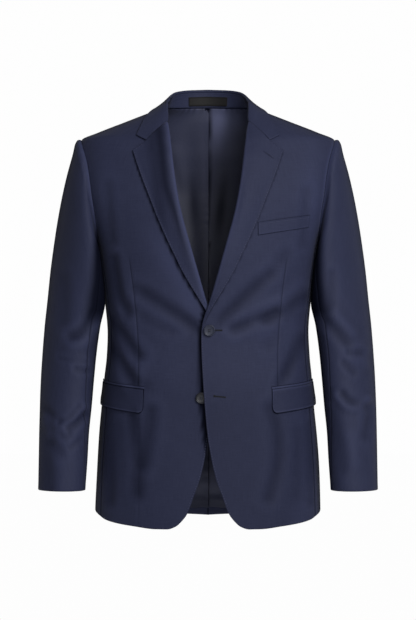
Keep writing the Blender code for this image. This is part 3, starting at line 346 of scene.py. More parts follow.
# Pick stitching
STITCH_INSET = 2.3 * MM
STITCH_SPACING = 5.4 * MM
EDGE_STITCH_SPACING = 4.6 * MM
STITCH_LENGTH = 2.0 * MM
STITCH_RADIUS = 0.44 * MM
STITCH_DIMPLE = 0.22 * MM
STITCH_SPREAD = 1.4 * MM
STITCH_SIDES = 6

# A stitch's rings: place along its length, and share of its radius
STITCH_RINGS = ((-0.5, 0.35), (-0.3, 1.0), (0.3, 1.0), (0.5, 0.35))

# Tone: shade from 0 to 1, and light below 0
FOLD_SHADE = 0.44
FOLD_FULL = 4.2 * MM
RIDGE_LIGHT = 0.13
RIDGE_FULL = 1.6 * MM
SKIRT_SHADE = {LEFT: 0.22, RIGHT: 0.15}
ARMHOLE_LIGHT = {LEFT: 0.65, RIGHT: 0.40}
UNDERSIDE_SHADE = {LEFT: 0.35, RIGHT: 0.12}
FLAP_SHADE = {LEFT: 0.15, RIGHT: 0.22}
FLAP_END_SHADE = {LEFT: 0.50, RIGHT: 0.85}
BUTTON_SHADE = {LEFT: 0.0, RIGHT: 0.92}

# Soft patches of shade on the fronts and the lining, seen from the front
PATCH_COLUMNS = ("strength", "across", "width", "height", "reach", "slant")
FRONT_PATCHES = {
    LEFT: ((-0.22, 188, 20, -165, 75, 0),),
    RIGHT: ((-0.22, 188, 20, -165, 75, 0), (0.35, 108, 9, -498, 14, 0), (0.30, 180, 16, -435, 40, 0)),
}
LINING_PATCHES = {
    LEFT: ((0.85, 24, 11, -175, 60, 0.10), (-1.15, 22, 24, -16, 48, 0), (-0.55, 56, 13, -2, 28, 0)),
    RIGHT: (
        (-0.30, 2, 6, -220, 90, 0), (0.55, 26.75, 9, -165, 45, 0.05),
        (0.35, 61.25, 8, -95, 50, 0.25), (-0.28, 6, 7, -110, 70, 0),
    ),
}

# Bands of tone across the lining near its hem: strength, height and reach
LINING_BANDS = ((-0.12, -690, 22), (0.60, -645, 34), (0.55, -732, 18))

UPRIGHT = np.array([0.0, 0.0, 1.0])
NECK_MIDDLE = np.array([0.0, 0.01, 0.0])

# Colours, as linear values
NAVY = (0.0168, 0.0204, 0.0520)
NAVY_LIGHT = (0.0286, 0.0338, 0.0755)
# NAVY_SHADE is the colour that painted shade mixes towards. Made lighter it is also the thread's own
# colour, and made darker it is the painted shadow in the buttonhole slits
NAVY_SHADE = (0.0022, 0.0026, 0.0060)
SATIN = (0.0330, 0.0370, 0.0720)
SATIN_LIGHT = (0.0480, 0.0530, 0.0980)
BUTTON_BLUE = (0.0120, 0.0150, 0.0300)
LABEL_BLACK = (0.0105, 0.0100, 0.0105)
PICK_BLUE = (0.0320, 0.0370, 0.0780)
FLOOR_WHITE = (0.90, 0.90, 0.90)

# Camera: the photo is 620 pixels high, and shows the jacket at 545 pixels a metre
PHOTO_HEIGHT = 620
PHOTO_SCALE = 545.0
CAMERA_DISTANCE = 4.5
CAMERA_HEIGHT = -0.364
SENSOR = 36.0
FLOOR_HEIGHT = -1.45


def smooth_curve(knots, values):
    """A cubic through the knots that keeps between neighbouring values, as a function."""
    order = np.argsort(knots)
    x = np.asarray(knots, float)[order]
    y = np.asarray(values, float)[order]
    step = np.diff(x)
    slope = np.diff(y) / step
    tangent = np.zeros(len(x))
    tangent[0], tangent[-1] = slope[0], slope[-1]
    for i in range(1, len(x) - 1):
        if slope[i - 1] * slope[i] > 0:
            before = 2 * step[i] + step[i - 1]
            after = step[i] + 2 * step[i - 1]
            tangent[i] = (before + after) / (before / slope[i - 1] + after / slope[i])

    def value(at):
        at = np.clip(np.asarray(at, float), x[0], x[-1])
        i = np.clip(np.searchsorted(x, at) - 1, 0, len(x) - 2)
        h = step[i]
        t = (at - x[i]) / h
        return (
            y[i] * (1 + 2 * t) * (1 - t) ** 2
            + y[i + 1] * t**2 * (3 - 2 * t)
            + tangent[i] * h * t * (1 - t) ** 2
            - tangent[i + 1] * h * t**2 * (1 - t)
        )

    return value


def metres(rows, keep=()):
    """A table's rows from millimetres to metres, but for the columns to keep."""
    data = np.array(rows, float)
    data[:, [i for i in range(data.shape[1]) if i not in keep]] *= MM
    return data


def table_curves(columns, rows, keep=()):
    """One smooth curve for each column after the first, read against the first."""
    data = metres(rows, keep)
    return {name: smooth_curve(data[:, 0], data[:, i]) for i, name in enumerate(columns) if i}


def smoothstep(low, high, at):
    t = np.clip((np.asarray(at, float) - low) / (high - low), 0.0, 1.0)
    return t * t * (3 - 2 * t)


def bump(at, middle, width):
    return np.exp(-(((at - middle) / width) ** 2))


def unit(vectors):
    return vectors / np.maximum(np.linalg.norm(vectors, axis=-1, keepdims=True), 1e-12)


BODY = table_curves(BODY_COLUMNS, BODY_RINGS, keep=(4,))
HEM_HEIGHT = table_curves(HEM_COLUMNS, HEM, keep=(0,))["height"]
EDGE_ACROSS = table_curves(EDGE_COLUMNS, FRONT_EDGE)["across"]
ROLL_ACROSS = table_curves(EDGE_COLUMNS, ROLL_LINE)["across"]
LAPEL_ACROSS = table_curves(EDGE_COLUMNS, LAPEL_EDGE)["across"]
DART_ACROSS = table_curves(EDGE_COLUMNS, DART)["across"]
COLLAR_AT = table_curves(COLLAR_COLUMNS, COLLAR, keep=(0, 3))
SLEEVE_AT = {
    name: smooth_curve(np.arange(len(SLEEVE_RINGS)), values)
    for name, values in zip(SLEEVE_COLUMNS, metres(SLEEVE_RINGS, keep=(6, 7)).T)
}


def body_point(bearing, height):
    """A point of the body's surface by its bearing, in radians from the front, and height."""
    bearing, height = np.broadcast_arrays(np.asarray(bearing, float), np.asarray(height, float))
    sine, cosine = np.sin(bearing), np.cos(bearing)
    depth = np.where(cosine > 0, BODY["front"](height), BODY["back"](height))
    power = BODY["squareness"](height)
    across = np.abs(sine) / BODY["half_width"](height)
    along = np.abs(cosine) / depth
    reach = (across**power + along**power) ** (-1 / power)
    return np.stack([reach * sine, -reach * cosine, height], -1)


def body_normal(bearing, height):
    turn, climb = 0.004, 0.001
    around = body_point(bearing + turn, height) - body_point(bearing - turn, height)
    upwards = body_point(bearing, height + climb) - body_point(bearing, height - climb)
    return unit(np.cross(around, upwards))


def on_body(place):
    """Points and normals of the body's surface at bearings and heights."""
    bearing, height = place[..., 0], place[..., 1]
    return body_point(bearing, height), body_normal(bearing, height)


def bearing_of(across, height):
    """The bearing of the front surface at a distance from the centre line."""
    across = np.asarray(across, float)
    power = BODY["squareness"](height)
    share = np.clip(np.abs(across) / BODY["half_width"](height), 0, 0.9999)
    depth = BODY["front"](height) * (1 - share**power) ** (1 / power)
    return np.arctan2(across, depth)


def lap_offset(side, across, height):
    """How far a front stands off the body's surface where the fronts lap."""
    near = smoothstep(LAP_REACH, 0.008, np.abs(across))
    level = smoothstep(-0.20, -0.35, height) * (1 - 0.6 * smoothstep(-0.60, -0.75, height))
    return (LAP_LIFT if side == LEFT else -LAP_SINK) * near * level


def roll_lift(across, height):
    """How far a front and its lapel rise towards the roll line."""
    distance = np.maximum(across - ROLL_ACROSS(height), 0)
    level = smoothstep(BREAK + 0.012, -0.28, height) * smoothstep(-0.035, -0.10, height)
    return ROLL_LIFT * level * np.exp(-((distance / ROLL_REACH) ** 2))


def roll_radius(height):
    """The radius of the lapel's roll, which thins out towards the break."""
    return LAPEL_ROLL * (0.22 + 0.78 * smoothstep(BREAK, BREAK + 0.060, height))


def front_folds(side, across, height):
    """The largest soft folds of a front, below zero in their troughs."""
    total = np.zeros(np.broadcast(across, height).shape)
    for first_x, first_z, last_x, last_z, spread, depth in metres(FRONT_FOLDS[side]):
        run = np.array([last_x - first_x, last_z - first_z])
        length = np.hypot(*run)
        along = ((across - first_x) * run[0] + (height - first_z) * run[1]) / length
        aside = ((across - first_x) * run[1] - (height - first_z) * run[0]) / length
        beyond = np.maximum(np.maximum(-along, along - length), 0)
        total -= depth * np.exp(-(aside**2 + beyond**2) / spread**2)
    return total * smoothstep(0.0, FOLD_FADE, across) * smoothstep(-0.757, -0.725, height)


def curved(share, first, middle, last):
    """Places along a curve from first to last that leans towards the middle one."""
    return first * (1 - share) ** 2 + middle * 2 * share * (1 - share) + last * share**2


def crease_relief(creases, across, height):
    """Soft troughs with a low ridge on either side, along curved runs."""
    total = np.zeros(np.broadcast(across, height).shape)
    share = np.linspace(0, 1, 15)
    for row in metres(creases):
        crease = dict(zip(CREASE_COLUMNS, row))
        run_x = curved(share, crease["first_x"], crease["middle_x"], crease["last_x"])
        run_z = curved(share, crease["first_z"], crease["middle_z"], crease["last_z"])
        spread, depth = crease["spread"], crease["depth"]
        distance = np.full(total.shape, 1.0)
        for k in range(len(share) - 1):
            step = np.array([run_x[k + 1] - run_x[k], run_z[k + 1] - run_z[k]])
            along = ((across - run_x[k]) * step[0] + (height - run_z[k]) * step[1]) / (step @ step)
            along = np.clip(along, 0, 1)
            gap = np.hypot(across - run_x[k] - along * step[0], height - run_z[k] - along * step[1])
            distance = np.minimum(distance, gap)
        total -= depth * bump(distance, 0, spread)
        total += CREASE_RIDGE * depth * bump(distance, 1.9 * spread, spread)
    return total


def front_surface(side, bearing, height):
    """Points and normals of one front. Bearings count from the centre towards its side."""
    point = body_point(bearing, height)
    normal = body_normal(bearing, height)
    seam = np.radians(FRONT_SEAM_BEARING)
    inside = smoothstep(seam, seam - 0.20, bearing)
    across = point[..., 0]
    offset = lap_offset(side, across, height) + roll_lift(across, height)
    offset = offset + fold_relief(side, across, height) * inside
    return point + normal * offset[..., None], normal


def on_front(side, place):
    """Points and normals of one front at places seen from the front, across and height."""
    across, height = place[..., 0], place[..., 1]
    return front_surface(side, bearing_of(across, height), height)


def fold_relief(side, across, height):
    """All the folds of a front together: below zero in their troughs."""
    fade = smoothstep(0.0, FOLD_FADE, across)
    return front_folds(side, across, height) + crease_relief(FRONT_CREASES[side], across, height) * fade


def mirrored(side, vectors):
    return vectors * np.array([side, 1.0, 1.0])


def armhole(angle):
    """A point of the armhole. 0 degrees is the shoulder tip, 90 the front, 180 the underarm."""
    angle = np.radians(angle)
    y = -ARMHOLE_HALF_WIDTH * np.sin(angle)
    z = ARMHOLE_MIDDLE + ARMHOLE_HALF_HEIGHT * np.cos(angle)
    depth = np.where(y < 0, BODY["front"](z), BODY["back"](z))
    power = BODY["squareness"](z)
    x = BODY["half_width"](z) * (1 - (np.abs(y) / depth) ** power) ** (1 / power)
    return np.stack([x, y, z], -1)


def armhole_bearing(angle):
    point = armhole(angle)
    return np.arctan2(point[..., 0], -point[..., 1])


def armhole_line(angles):
    """The armhole's bearings and heights."""
    return np.stack([armhole_bearing(angles), armhole(angles)[:, 2]], -1)


def hem_line(bearings, first, last):
    """The hem's bearings and heights, between two corners of a panel."""
    line = np.stack([np.radians(bearings), HEM_HEIGHT(bearings)], -1)
    line[0], line[-1] = first, last
    return line


def line_lengths(points):
    return np.concatenate([[0], np.cumsum(np.linalg.norm(np.diff(points, axis=0), axis=1))])


def between(at, known, points):
    """Points at places along a line, from the points at known places."""
    return np.stack([np.interp(at, known, points[:, i]) for i in range(points.shape[1])], -1)


def resample(points, shares, measure):
    """Rows of points at the given shares of the length of the measured line."""
    length = line_lengths(measure)
    return between(np.asarray(shares) * length[-1], length, points)


def panel_rows(u, inner, outer, bottom, top, low_share, high_share):
    """Rows between two edges, bent near the ends to meet the bottom and top curves."""
    u = np.broadcast_to(u, (len(inner), u.shape[-1]))[..., None]
    level = np.linspace(0, 1, len(inner))[:, None, None]
    grid = inner[:, None, :] * (1 - u) + outer[:, None, :] * u
    near_bottom = np.clip(1 - level / low_share, 0, 1) ** 2
    near_top = np.clip((level - 1 + high_share) / high_share, 0, 1) ** 2
    grid += near_bottom * (bottom[None] - grid[:1])
    return grid + near_top * (top[None] - grid[-1:])


def side_seam(start_bearing, waist_bearing, top_angle, rows):
    """A seam from the hem to the armhole, as bearing and height for each row."""
    top = armhole(top_angle)
    low = float(HEM_HEIGHT(start_bearing))
    height = np.linspace(low, top[2], rows)
    curve = smooth_curve(
        [low, WAIST, top[2]],
        [start_bearing, waist_bearing, math.degrees(float(armhole_bearing(top_angle)))],
    )
    return np.stack([np.radians(curve(height)), height], -1)


def inner_front_line():
    """The front panel's own edge, from the hem's corner up to the neck point."""
    edge_height = np.linspace(HEM_CORNER, BREAK, 160)
    roll_height = np.linspace(BREAK, GORGE_TOP[1], 160)[1:]
    neck_height = np.linspace(GORGE_TOP[1], NECK_POINT, 80)[1:]
    inset = LAPEL_ROLL + LAPEL_CLOTH / 2
    roll_inset = roll_radius(roll_height) + LAPEL_CLOTH / 2
    roll_inset *= smoothstep(BREAK, BREAK + 0.02, roll_height)
    across = np.concatenate([
        EDGE_ACROSS(edge_height),
        ROLL_ACROSS(roll_height) + roll_inset,
        ROLL_ACROSS(neck_height) + inset * smoothstep(NECK_POINT - 0.006, GORGE_TOP[1], neck_height),
    ])
    height = np.concatenate([edge_height, roll_height, neck_height])
    bearing = bearing_of(across, height)
    bearing[-1] = math.pi / 2
    return np.stack([bearing, height], -1)


def nudge(line, distance):
    """Moves a line of bearings and heights sideways along the surface."""
    reach = np.linalg.norm(body_point(line[:, 0], line[:, 1])[:, :2], axis=-1)
    return line + np.stack([distance / reach, np.zeros(len(line))], -1)


def crowded(start, end, near_start, near_end, count):
    """Distances that crowd at both ends as listed, in millimetres, and are even between."""
    low = start + np.array(near_start) * MM
    high = end - np.array(near_end)[::-1] * MM
    return np.concatenate([low, np.linspace(low[-1], high[0], count + 2)[1:-1], high])


def crowded_shares(width, near_start, near_end, count):
    return crowded(0.0, width, near_start, near_end, count) / width


SEAM_CROWD = (0, 0.9, 1.8, 3.0, 5.0, 8.0)
EDGE_CROWD = (0, 0.8, 1.6, 2.6, 3.6, 4.8, 6.6, 10.0)


def front_columns(widths, dart_shares):
    """Shares across each row of a front, crowded at its edge, its dart and its seam."""
    rows = []
    for width, dart in zip(widths, dart_shares):
        at_dart = dart * width
        first = crowded(0.0, at_dart, EDGE_CROWD, SEAM_CROWD, 16)
        last = crowded(at_dart, width, SEAM_CROWD, SEAM_CROWD, 14)[1:]
        rows.append(np.concatenate([first, last]) / width)
    return np.array(rows)


def front_panel_domain():
    """Bearings and heights of a front's grid, from its edge to its side seam."""
    low_rows = np.concatenate([
        np.linspace(HEM_CORNER, BREAK, 114), np.linspace(BREAK, CHEST_ROW, 52)[1:],
    ])
    seam = side_seam(FRONT_SEAM_BEARING, FRONT_SEAM_WAIST, FRONT_SEAM_TOP, len(low_rows))
    angles = np.arange(FRONT_SEAM_TOP - ARMHOLE_STEP, -1, -ARMHOLE_STEP)
    outer = np.concatenate([nudge(seam, -SEAM_GAP / 2), armhole_line(angles)])
    line = inner_front_line()
    measure = body_point(line[:, 0], line[:, 1])
    middle = int(np.argmin(np.abs(line[:, 1] - CHEST_ROW)))
    low = np.stack([np.interp(low_rows, line[:, 1], line[:, 0]), low_rows], -1)
    high = resample(line[middle:], np.linspace(0, 1, len(angles) + 1), measure[middle:])
    inner = np.concatenate([low, high[1:]])
    ends = body_point(inner[:, 0], inner[:, 1]), body_point(outer[:, 0], outer[:, 1])
    widths = np.linalg.norm(ends[1] - ends[0], axis=-1) * 1.06
    share = np.linspace(0, 1, 101)[:, None]
    darts = []
    for start, stop in zip(inner, outer):
        row = start * (1 - share) + stop * share
        miss = body_point(row[:, 0], row[:, 1])[:, 0] - DART_ACROSS(row[:, 1])
        darts.append(np.interp(0.0, miss, share[:, 0]))
    u = front_columns(widths, np.clip(np.array(darts), 0.25, 0.75))
    bearings = np.degrees(inner[0, 0]) * (1 - u[0]) + FRONT_SEAM_BEARING * u[0]
    bottom = hem_line(bearings, inner[0], outer[0])
    top = inner[-1] * (1 - u[-1][:, None]) + outer[-1] * u[-1][:, None]
    top[:, 0] -= SEAM_GAP / 2 / BODY["half_width"](top[:, 1])
    return panel_rows(u, inner, outer, bottom, top, 0.35, 0.2)


def back_panel_domain():
    """Bearings and heights of a back's grid, from the centre seam to the side seam."""
    low_rows = 130
    seam = side_seam(BACK_SEAM_BEARING, BACK_SEAM_WAIST, BACK_SEAM_TOP, low_rows)
    angles = np.arange(BACK_SEAM_TOP + ARMHOLE_STEP, 361, ARMHOLE_STEP)
    outer = np.concatenate([nudge(seam, SEAM_GAP / 2), armhole_line(angles)])
    rows = len(outer)
    height = np.concatenate([
        np.linspace(float(HEM_HEIGHT(180.0)), BLADE_ROW, low_rows),
        np.linspace(BLADE_ROW, NAPE, rows - low_rows + 1)[1:],
    ])
    inner = nudge(np.stack([np.full(rows, math.pi), height], -1), -SEAM_GAP / 2)
    u = crowded_shares(BACK_WIDTH, SEAM_CROWD, SEAM_CROWD, 46)
    bottom = hem_line(180.0 * (1 - u) + BACK_SEAM_BEARING * u, inner[0], outer[0])
    neck_columns = int(len(u) * 0.42)
    round_neck = (u[: neck_columns + 1] / u[neck_columns])[:, None]
    neck_end = np.array([math.pi / 2, NECK_POINT])
    neck = inner[-1] * (1 - round_neck) + neck_end * round_neck
    neck[:, 1] = NAPE + (NECK_POINT - NAPE) * round_neck[:, 0] ** NAPE_CURVE
    along = ((u[neck_columns:] - u[neck_columns]) / (1 - u[neck_columns]))[1:, None]
    shoulder = neck_end * (1 - along) + outer[-1] * along
    top = np.concatenate([neck, shoulder])
    on_seam = top[neck_columns:]
    on_seam[:, 0] = math.pi / 2 + SEAM_GAP / 2 / BODY["half_width"](on_seam[:, 1])
    return panel_rows(u, inner, outer, bottom, top, 0.35, 0.45)


def side_panel_domain():
    """Bearings and heights of a side body's grid, from its front seam to its back seam."""
    rows = 150
    front = nudge(side_seam(FRONT_SEAM_BEARING, FRONT_SEAM_WAIST, FRONT_SEAM_TOP, rows), SEAM_GAP / 2)
    back = nudge(side_seam(BACK_SEAM_BEARING, BACK_SEAM_WAIST, BACK_SEAM_TOP, rows), -SEAM_GAP / 2)
    u = crowded_shares(SIDE_WIDTH, SEAM_CROWD, SEAM_CROWD, 22)
    top = armhole_line(FRONT_SEAM_TOP + (BACK_SEAM_TOP - FRONT_SEAM_TOP) * u)
    top[0], top[-1] = front[-1], back[-1]
    bottom = hem_line(FRONT_SEAM_BEARING * (1 - u) + BACK_SEAM_BEARING * u, front[0], back[0])
    return panel_rows(u, front, back, bottom, top, 0.35, 0.3)


def grid_normals(grid, closed=False):
    """Normals of a grid of points, from its own rows and columns."""
    down = np.gradient(grid, axis=0)
    if closed:
        across = np.roll(grid, -1, axis=1) - np.roll(grid, 1, axis=1)
    else:
        across = np.gradient(grid, axis=1)
    return unit(np.cross(across, down))


def from_edges(grid):
    """Distance of each grid point from the first and last columns and rows, along the grid."""
    across = np.cumsum(np.linalg.norm(np.diff(grid, axis=1), axis=-1), axis=1)
    across = np.concatenate([np.zeros((len(grid), 1)), across], axis=1)
    down = np.cumsum(np.linalg.norm(np.diff(grid, axis=0), axis=-1), axis=0)
    down = np.concatenate([np.zeros((1, grid.shape[1])), down], axis=0)
    return across, across[:, -1:] - across, down, down[-1:] - down


class Finish:
    """The materials by name, filled in by make_materials."""


GRID_EDGES = ("top", "low", "start", "end")


def declare_cloth():
    """Lists each cloth piece with how it's held and what it rests on. Nothing reads the list."""
    held = []
    for side in ("left", "right"):
        front, back, sleeve = f"front_{side}", f"back_{side}", f"top_sleeve_{side}"
        held += [
            (back, "hung", ["collar_stand"]),
            (front, "hung", [back]),
            (f"side_{side}", "hung", [front, back]),
            (sleeve, "hung", [front, back]),
            (f"under_sleeve_{side}", "hung", [sleeve]),
            (f"lapel_{side}", "folded", [front]),
            (f"lining_{side}", "hung", [back]),
            (f"flap_{side}", "laid", [front]),
        ]
    held += [
        ("collar_stand", "hung", []),
        ("collar_fall", "folded", ["collar_stand"]),
        ("chest_welt", "laid", ["front_left"]),
        ("label", "laid", ["collar_stand"]),
    ]


def cloth_shell(
    name, points, normals, thickness, coords, shade, side=None, slot="wool", inside=None,
    seams="", rounding=None,
):
    """A closed cloth wall with soft edges about a grid of points, in place of its solid.

    side puts a piece that is made as the left one on its own side, and adds that to its name.
    seams names the sides of the grid that are sewn, of top, low, start and end: they get
    a tight edge, and the others a soft one, unless rounding gives a side its own.

    coords are the cloth's own coordinates in metres, for its weave. shade is a value for
    each point, 1 where a seam or a pressed edge sits in shadow. inside(points) tells
    which faces of the inner layer have the lining's material.
    """
    if side is not None:
        name = f"{name}_{word(side)}"
        points, normals = mirrored(side, points), mirrored(side, normals)
    rows, columns = points.shape[:2]
    layer = points.copy()
    inset = {edge: SEAM_ROUNDING if edge in seams else EDGE_ROUNDING for edge in GRID_EDGES}
    inset.update(rounding or {})
    inset = {edge: np.reshape(value, (-1, 1)) for edge, value in inset.items()}
    layer[0] += unit(points[1] - points[0]) * inset["top"]
    layer[-1] += unit(points[-2] - points[-1]) * inset["low"]
    layer[:, 0] += unit(points[:, 1] - points[:, 0]) * inset["start"]
    layer[:, -1] += unit(points[:, -2] - points[:, -1]) * inset["end"]
    outer = layer + normals * thickness / 2
    inner = layer - normals * thickness / 2
    count = rows * columns
    base = np.arange(count).reshape(rows, columns)
    rim = np.concatenate([base[0], base[1:, -1], base[-1, -2::-1], base[-2:0:-1, 0]])
    outer, inner = outer.reshape(-1, 3), inner.reshape(-1, 3)
    vertices = np.concatenate([outer, inner, points.reshape(-1, 3)[rim]])
    a, b = base[:-1, :-1].ravel(), base[:-1, 1:].ravel()
    c, d = base[1:, 1:].ravel(), base[1:, :-1].ravel()
    front = np.stack([a, b, c, d], -1)
    behind = np.stack([a, d, c, b], -1) + count
    here = np.arange(len(rim))
    after = np.roll(here, -1)
    on_rim = here + 2 * count, after + 2 * count
    lip_out = np.stack([rim[after], rim[here], *on_rim], -1)
    lip_in = np.stack([rim[here] + count, rim[after] + count, *on_rim[::-1]], -1)
    faces = np.concatenate([front, behind, lip_out, lip_in])
    spot = rows // 2 * columns + columns // 2
    across, down = outer[spot + 1] - outer[spot], outer[spot + columns] - outer[spot]
    if np.dot(np.cross(across, down), normals.reshape(-1, 3)[spot]) < 0:
        faces = faces[:, ::-1]
    coords = coords.reshape(-1, 2)
    flat = np.concatenate([coords, coords, coords[rim]])
    shade = np.broadcast_to(shade, (rows, columns)).ravel()
    obj = make_mesh(name, vertices, faces, slot, flat, np.concatenate([shade, shade, shade[rim]]))
    if inside is not None:
        obj.data.materials.append(Finish.lining)
        centre = inner[behind - count].mean(axis=1)
        marks = np.zeros(len(faces), int)
        marks[len(front): len(front) + len(behind)] = inside(centre)
        obj.data.polygons.foreach_set("material_index", marks)
    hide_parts(name)


def linked(name, data):
    """A new object of a mesh, light or camera, in the scene."""
    obj = bpy.data.objects.new(name, data)
    bpy.context.scene.collection.objects.link(obj)
    return obj


def make_mesh(name, vertices, faces, slot, flat=None, dark=0.0):
    """A smooth mesh object with its material, cloth coordinates and shading attribute."""
    mesh = bpy.data.meshes.new(name)
    mesh.from_pydata(np.asarray(vertices).tolist(), [], [list(map(int, face)) for face in faces])
    mesh.materials.append(getattr(Finish, slot))
    mesh.shade_smooth()
    corner = np.zeros(len(mesh.loops), int)
    mesh.loops.foreach_get("vertex_index", corner)
    if flat is None:
        flat = np.asarray(vertices)[:, [0, 2]]
    layer = mesh.uv_layers.new(name="cloth")
    layer.data.foreach_set("uv", flat[corner].astype(np.float32).ravel())
    attribute = mesh.attributes.new("shadow", "FLOAT", "POINT")
    attribute.data.foreach_set("value", np.broadcast_to(dark, len(vertices)).astype(float))
    mesh.validate()
    obj = linked(name, mesh)
    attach(obj, "root")
    return obj


def seam_groove(distance, depth=SEAM_SINK):
    """How far the cloth sinks towards a seam at this distance."""
    return -depth * bump(distance, 0, SEAM_WIDTH)


def shaded(tone, shade):
    """A tone with a shade of 0 to 1 laid over it."""
    return tone + (1 - tone) * shade


def seam_shadow(distance, width=SEAM_WIDTH):
    return bump(distance, 0, 0.75 * width)


def fold_tone(relief):
    """Shade in the troughs of a relief, and light on its ridges."""
    shade = FOLD_SHADE * np.clip(-relief / FOLD_FULL, 0, 1)
    return shade - RIDGE_LIGHT * np.clip(relief / RIDGE_FULL, 0, 1)


def patches(rows, across, height):
    """Soft patches of shade, or of light where the strength is below zero."""
    total = np.zeros(np.broadcast(across, height).shape)
    for row in metres(rows, keep=(0, 5)):
        patch = dict(zip(PATCH_COLUMNS, row))
        middle = patch["across"] + patch["slant"] * (height - patch["height"])
        spot = bump(across, middle, patch["width"]) * bump(height, patch["height"], patch["reach"])
        total += patch["strength"] * spot
    return total


def body_coords(bearing, height):
    return np.stack([bearing * 0.165, height], -1)


def word(side):
    return "left" if side == LEFT else "right"


def dart_mask(across, height):
    start = smoothstep(DART_TOP + 0.006, DART_TOP - 0.012, height)
    end = smoothstep(-0.515, -0.505, height)
    return bump(across, DART_ACROSS(height), DART_HALF_WIDTH) * start * end


def cloth_tone(side, across, height):
    """Light and shade of a front: above 0 in its folds and under edges, below 0 on its ridges."""
    relief = fold_relief(side, across, height)
    skirt = smoothstep(-0.45, -0.56, height) * smoothstep(0.170, 0.135, across)
    folds = fold_tone(relief) + SKIRT_SHADE[side] * skirt
    folds += patches(FRONT_PATCHES[side], across, height)
    # Painted shadow under the lapel's edge, on both fronts. The right front also gets a painted highlight
    # between the lapel and the folds, and a painted shadow beside the edge of the left front, which laps
    # over it.
    level = smoothstep(BREAK, BREAK + 0.02, height) * smoothstep(-0.075, -0.085, height)
    beside = across - LAPEL_ACROSS(height)
    if side == LEFT:
        return shaded(folds, 0.50 * smoothstep(0.0024, 0.0006, beside) * level)
    painted_highlight = bump(beside, 0.008, 0.026) * smoothstep(-0.19, -0.29, height)
    painted_highlight *= smoothstep(-0.398, -0.378, height)
    folds -= 0.40 * painted_highlight * (1 - np.clip(-relief / (0.6 * FOLD_FULL), 0, 1))
    low = smoothstep(-0.12, -0.32, height)
    under_lapel = smoothstep(0.0026 + 0.0034 * low, 0.0008 + 0.0012 * low, beside)
    beyond = across + EDGE_ACROSS(height)
    wide = 0.0010 + 0.0050 * smoothstep(-0.430, -0.530, height)
    under_lap = 0.98 * smoothstep(wide + 0.0055, wide, beyond) + 0.10 * bump(beyond, 0.004, 0.016)
    lap_level = smoothstep(-0.690, -0.615, height) * smoothstep(-0.340, -0.352, height)
    under_lap = np.minimum(under_lap, 0.98) * lap_level
    return shaded(folds, np.maximum((0.80 + 0.20 * low) * under_lapel * level, under_lap))


def make_front(side):
    """A front, with its dart, its rolled and stitched edge and its seams."""
    domain = front_panel_domain()
    bearing, height = domain[..., 0], domain[..., 1]
    points, normals = front_surface(side, bearing, height)
    across = points[..., 0].copy()
    edge, seam = from_edges(points)[:2]
    below = smoothstep(BREAK + 0.008, BREAK - 0.006, height)
    row = np.arange(len(points))[:, None]
    picks = bump(edge, STITCH_INSET, STITCH_SPREAD) * (0.5 + 0.5 * np.cos(math.pi * row))
    relief = -STITCH_DIMPLE * picks * below
    relief += 0.35 * MM * bump(edge, 2.2 * MM, 2.2 * MM) * below
    relief = relief + seam_groove(seam) - DART_DEPTH * dart_mask(across, height)
    beside = bump(np.abs(across - DART_ACROSS(height)), 5 * MM, 3.5 * MM)
    relief += 0.35 * MM * beside * smoothstep(DART_TOP, DART_TOP - 0.05, height)
    pucker = np.sin(height * 2 * math.pi / 0.011 + 1.3 * side) * smoothstep(-0.24, -0.20, height)
    relief += 0.16 * MM * pucker * bump(seam, 5 * MM, 5 * MM)
    points += normals * relief[..., None]
    # Painted shade along the side seam, stronger below the arm, and in the dart. Painted light beside the
    # armhole seam and near the side seam under the arm.
    below_arm = smoothstep(-0.21, -0.26, height)
    shadow = np.maximum((0.15 + 0.60 * below_arm) * seam_shadow(seam), 0.5 * dart_mask(across, height))
    tone = cloth_tone(side, across, height)
    tone -= ARMHOLE_LIGHT[side] * bump(seam, MM, 5 * MM) * smoothstep(-0.235, -0.20, height)
    tone -= 0.30 * underarm(height) * smoothstep(0.012, 0.0, seam)

    def lined(centre):
        facing = 0.085 + 0.04 * smoothstep(-0.45, -0.70, centre[:, 2])
        return (np.abs(centre[:, 0]) > facing) & (centre[:, 2] > -0.715)

    cloth_shell(
        "front", points, normals, CLOTH, body_coords(bearing, height), shaded(tone, shadow), side,
        inside=lined, seams="low end",
    )


def underarm(height):
    """1 where the body lies close beside its sleeve, and little light gets between."""
    return smoothstep(-0.17, -0.23, height) * smoothstep(-0.41, -0.33, height)


def make_side(side):
    domain = side_panel_domain()
    bearing, height = domain[..., 0], domain[..., 1]
    points, normals = on_body(domain)
    front, back, _, high = from_edges(points)
    relief = seam_groove(front) + seam_groove(back) + seam_groove(high)
    relief += 0.5 * MM * np.sin(height * 31 + bearing * 9 + side) * bump(front, 0.05, 0.03)
    points += normals * relief[..., None]
    # Painted shade along both seams, and painted light on the side body close under the sleeve.
    shadow = np.maximum(seam_shadow(front), seam_shadow(back))
    shadow -= 0.75 * underarm(height) * (1 - shadow)
    cloth_shell(
        "side", points, normals, CLOTH, body_coords(bearing, height), shadow, side,
        inside=lambda centre: centre[:, 2] > -0.70, seams="low start end",
    )


def make_back(side):
    domain = back_panel_domain()
    bearing, height = domain[..., 0], domain[..., 1]
    points, normals = on_body(domain)
    centre, seam, _, high = from_edges(points)
    across = points[..., 0]
    fade = smoothstep(0.0, 0.03, centre) * smoothstep(0.0, 0.03, seam) * smoothstep(0.0, 0.03, high)
    relief = crease_relief(BACK_CREASES[side], across, height) * fade
    relief = relief + seam_groove(centre) + seam_groove(seam)
    relief += seam_groove(high) * smoothstep(0.075, 0.082, across)
    points += normals * relief[..., None]
    shadow = np.maximum(seam_shadow(centre), seam_shadow(seam))
    cloth_shell(
        "back", points, normals, CLOTH, body_coords(bearing, height), shadow, side,
        seams="low start end",
    )


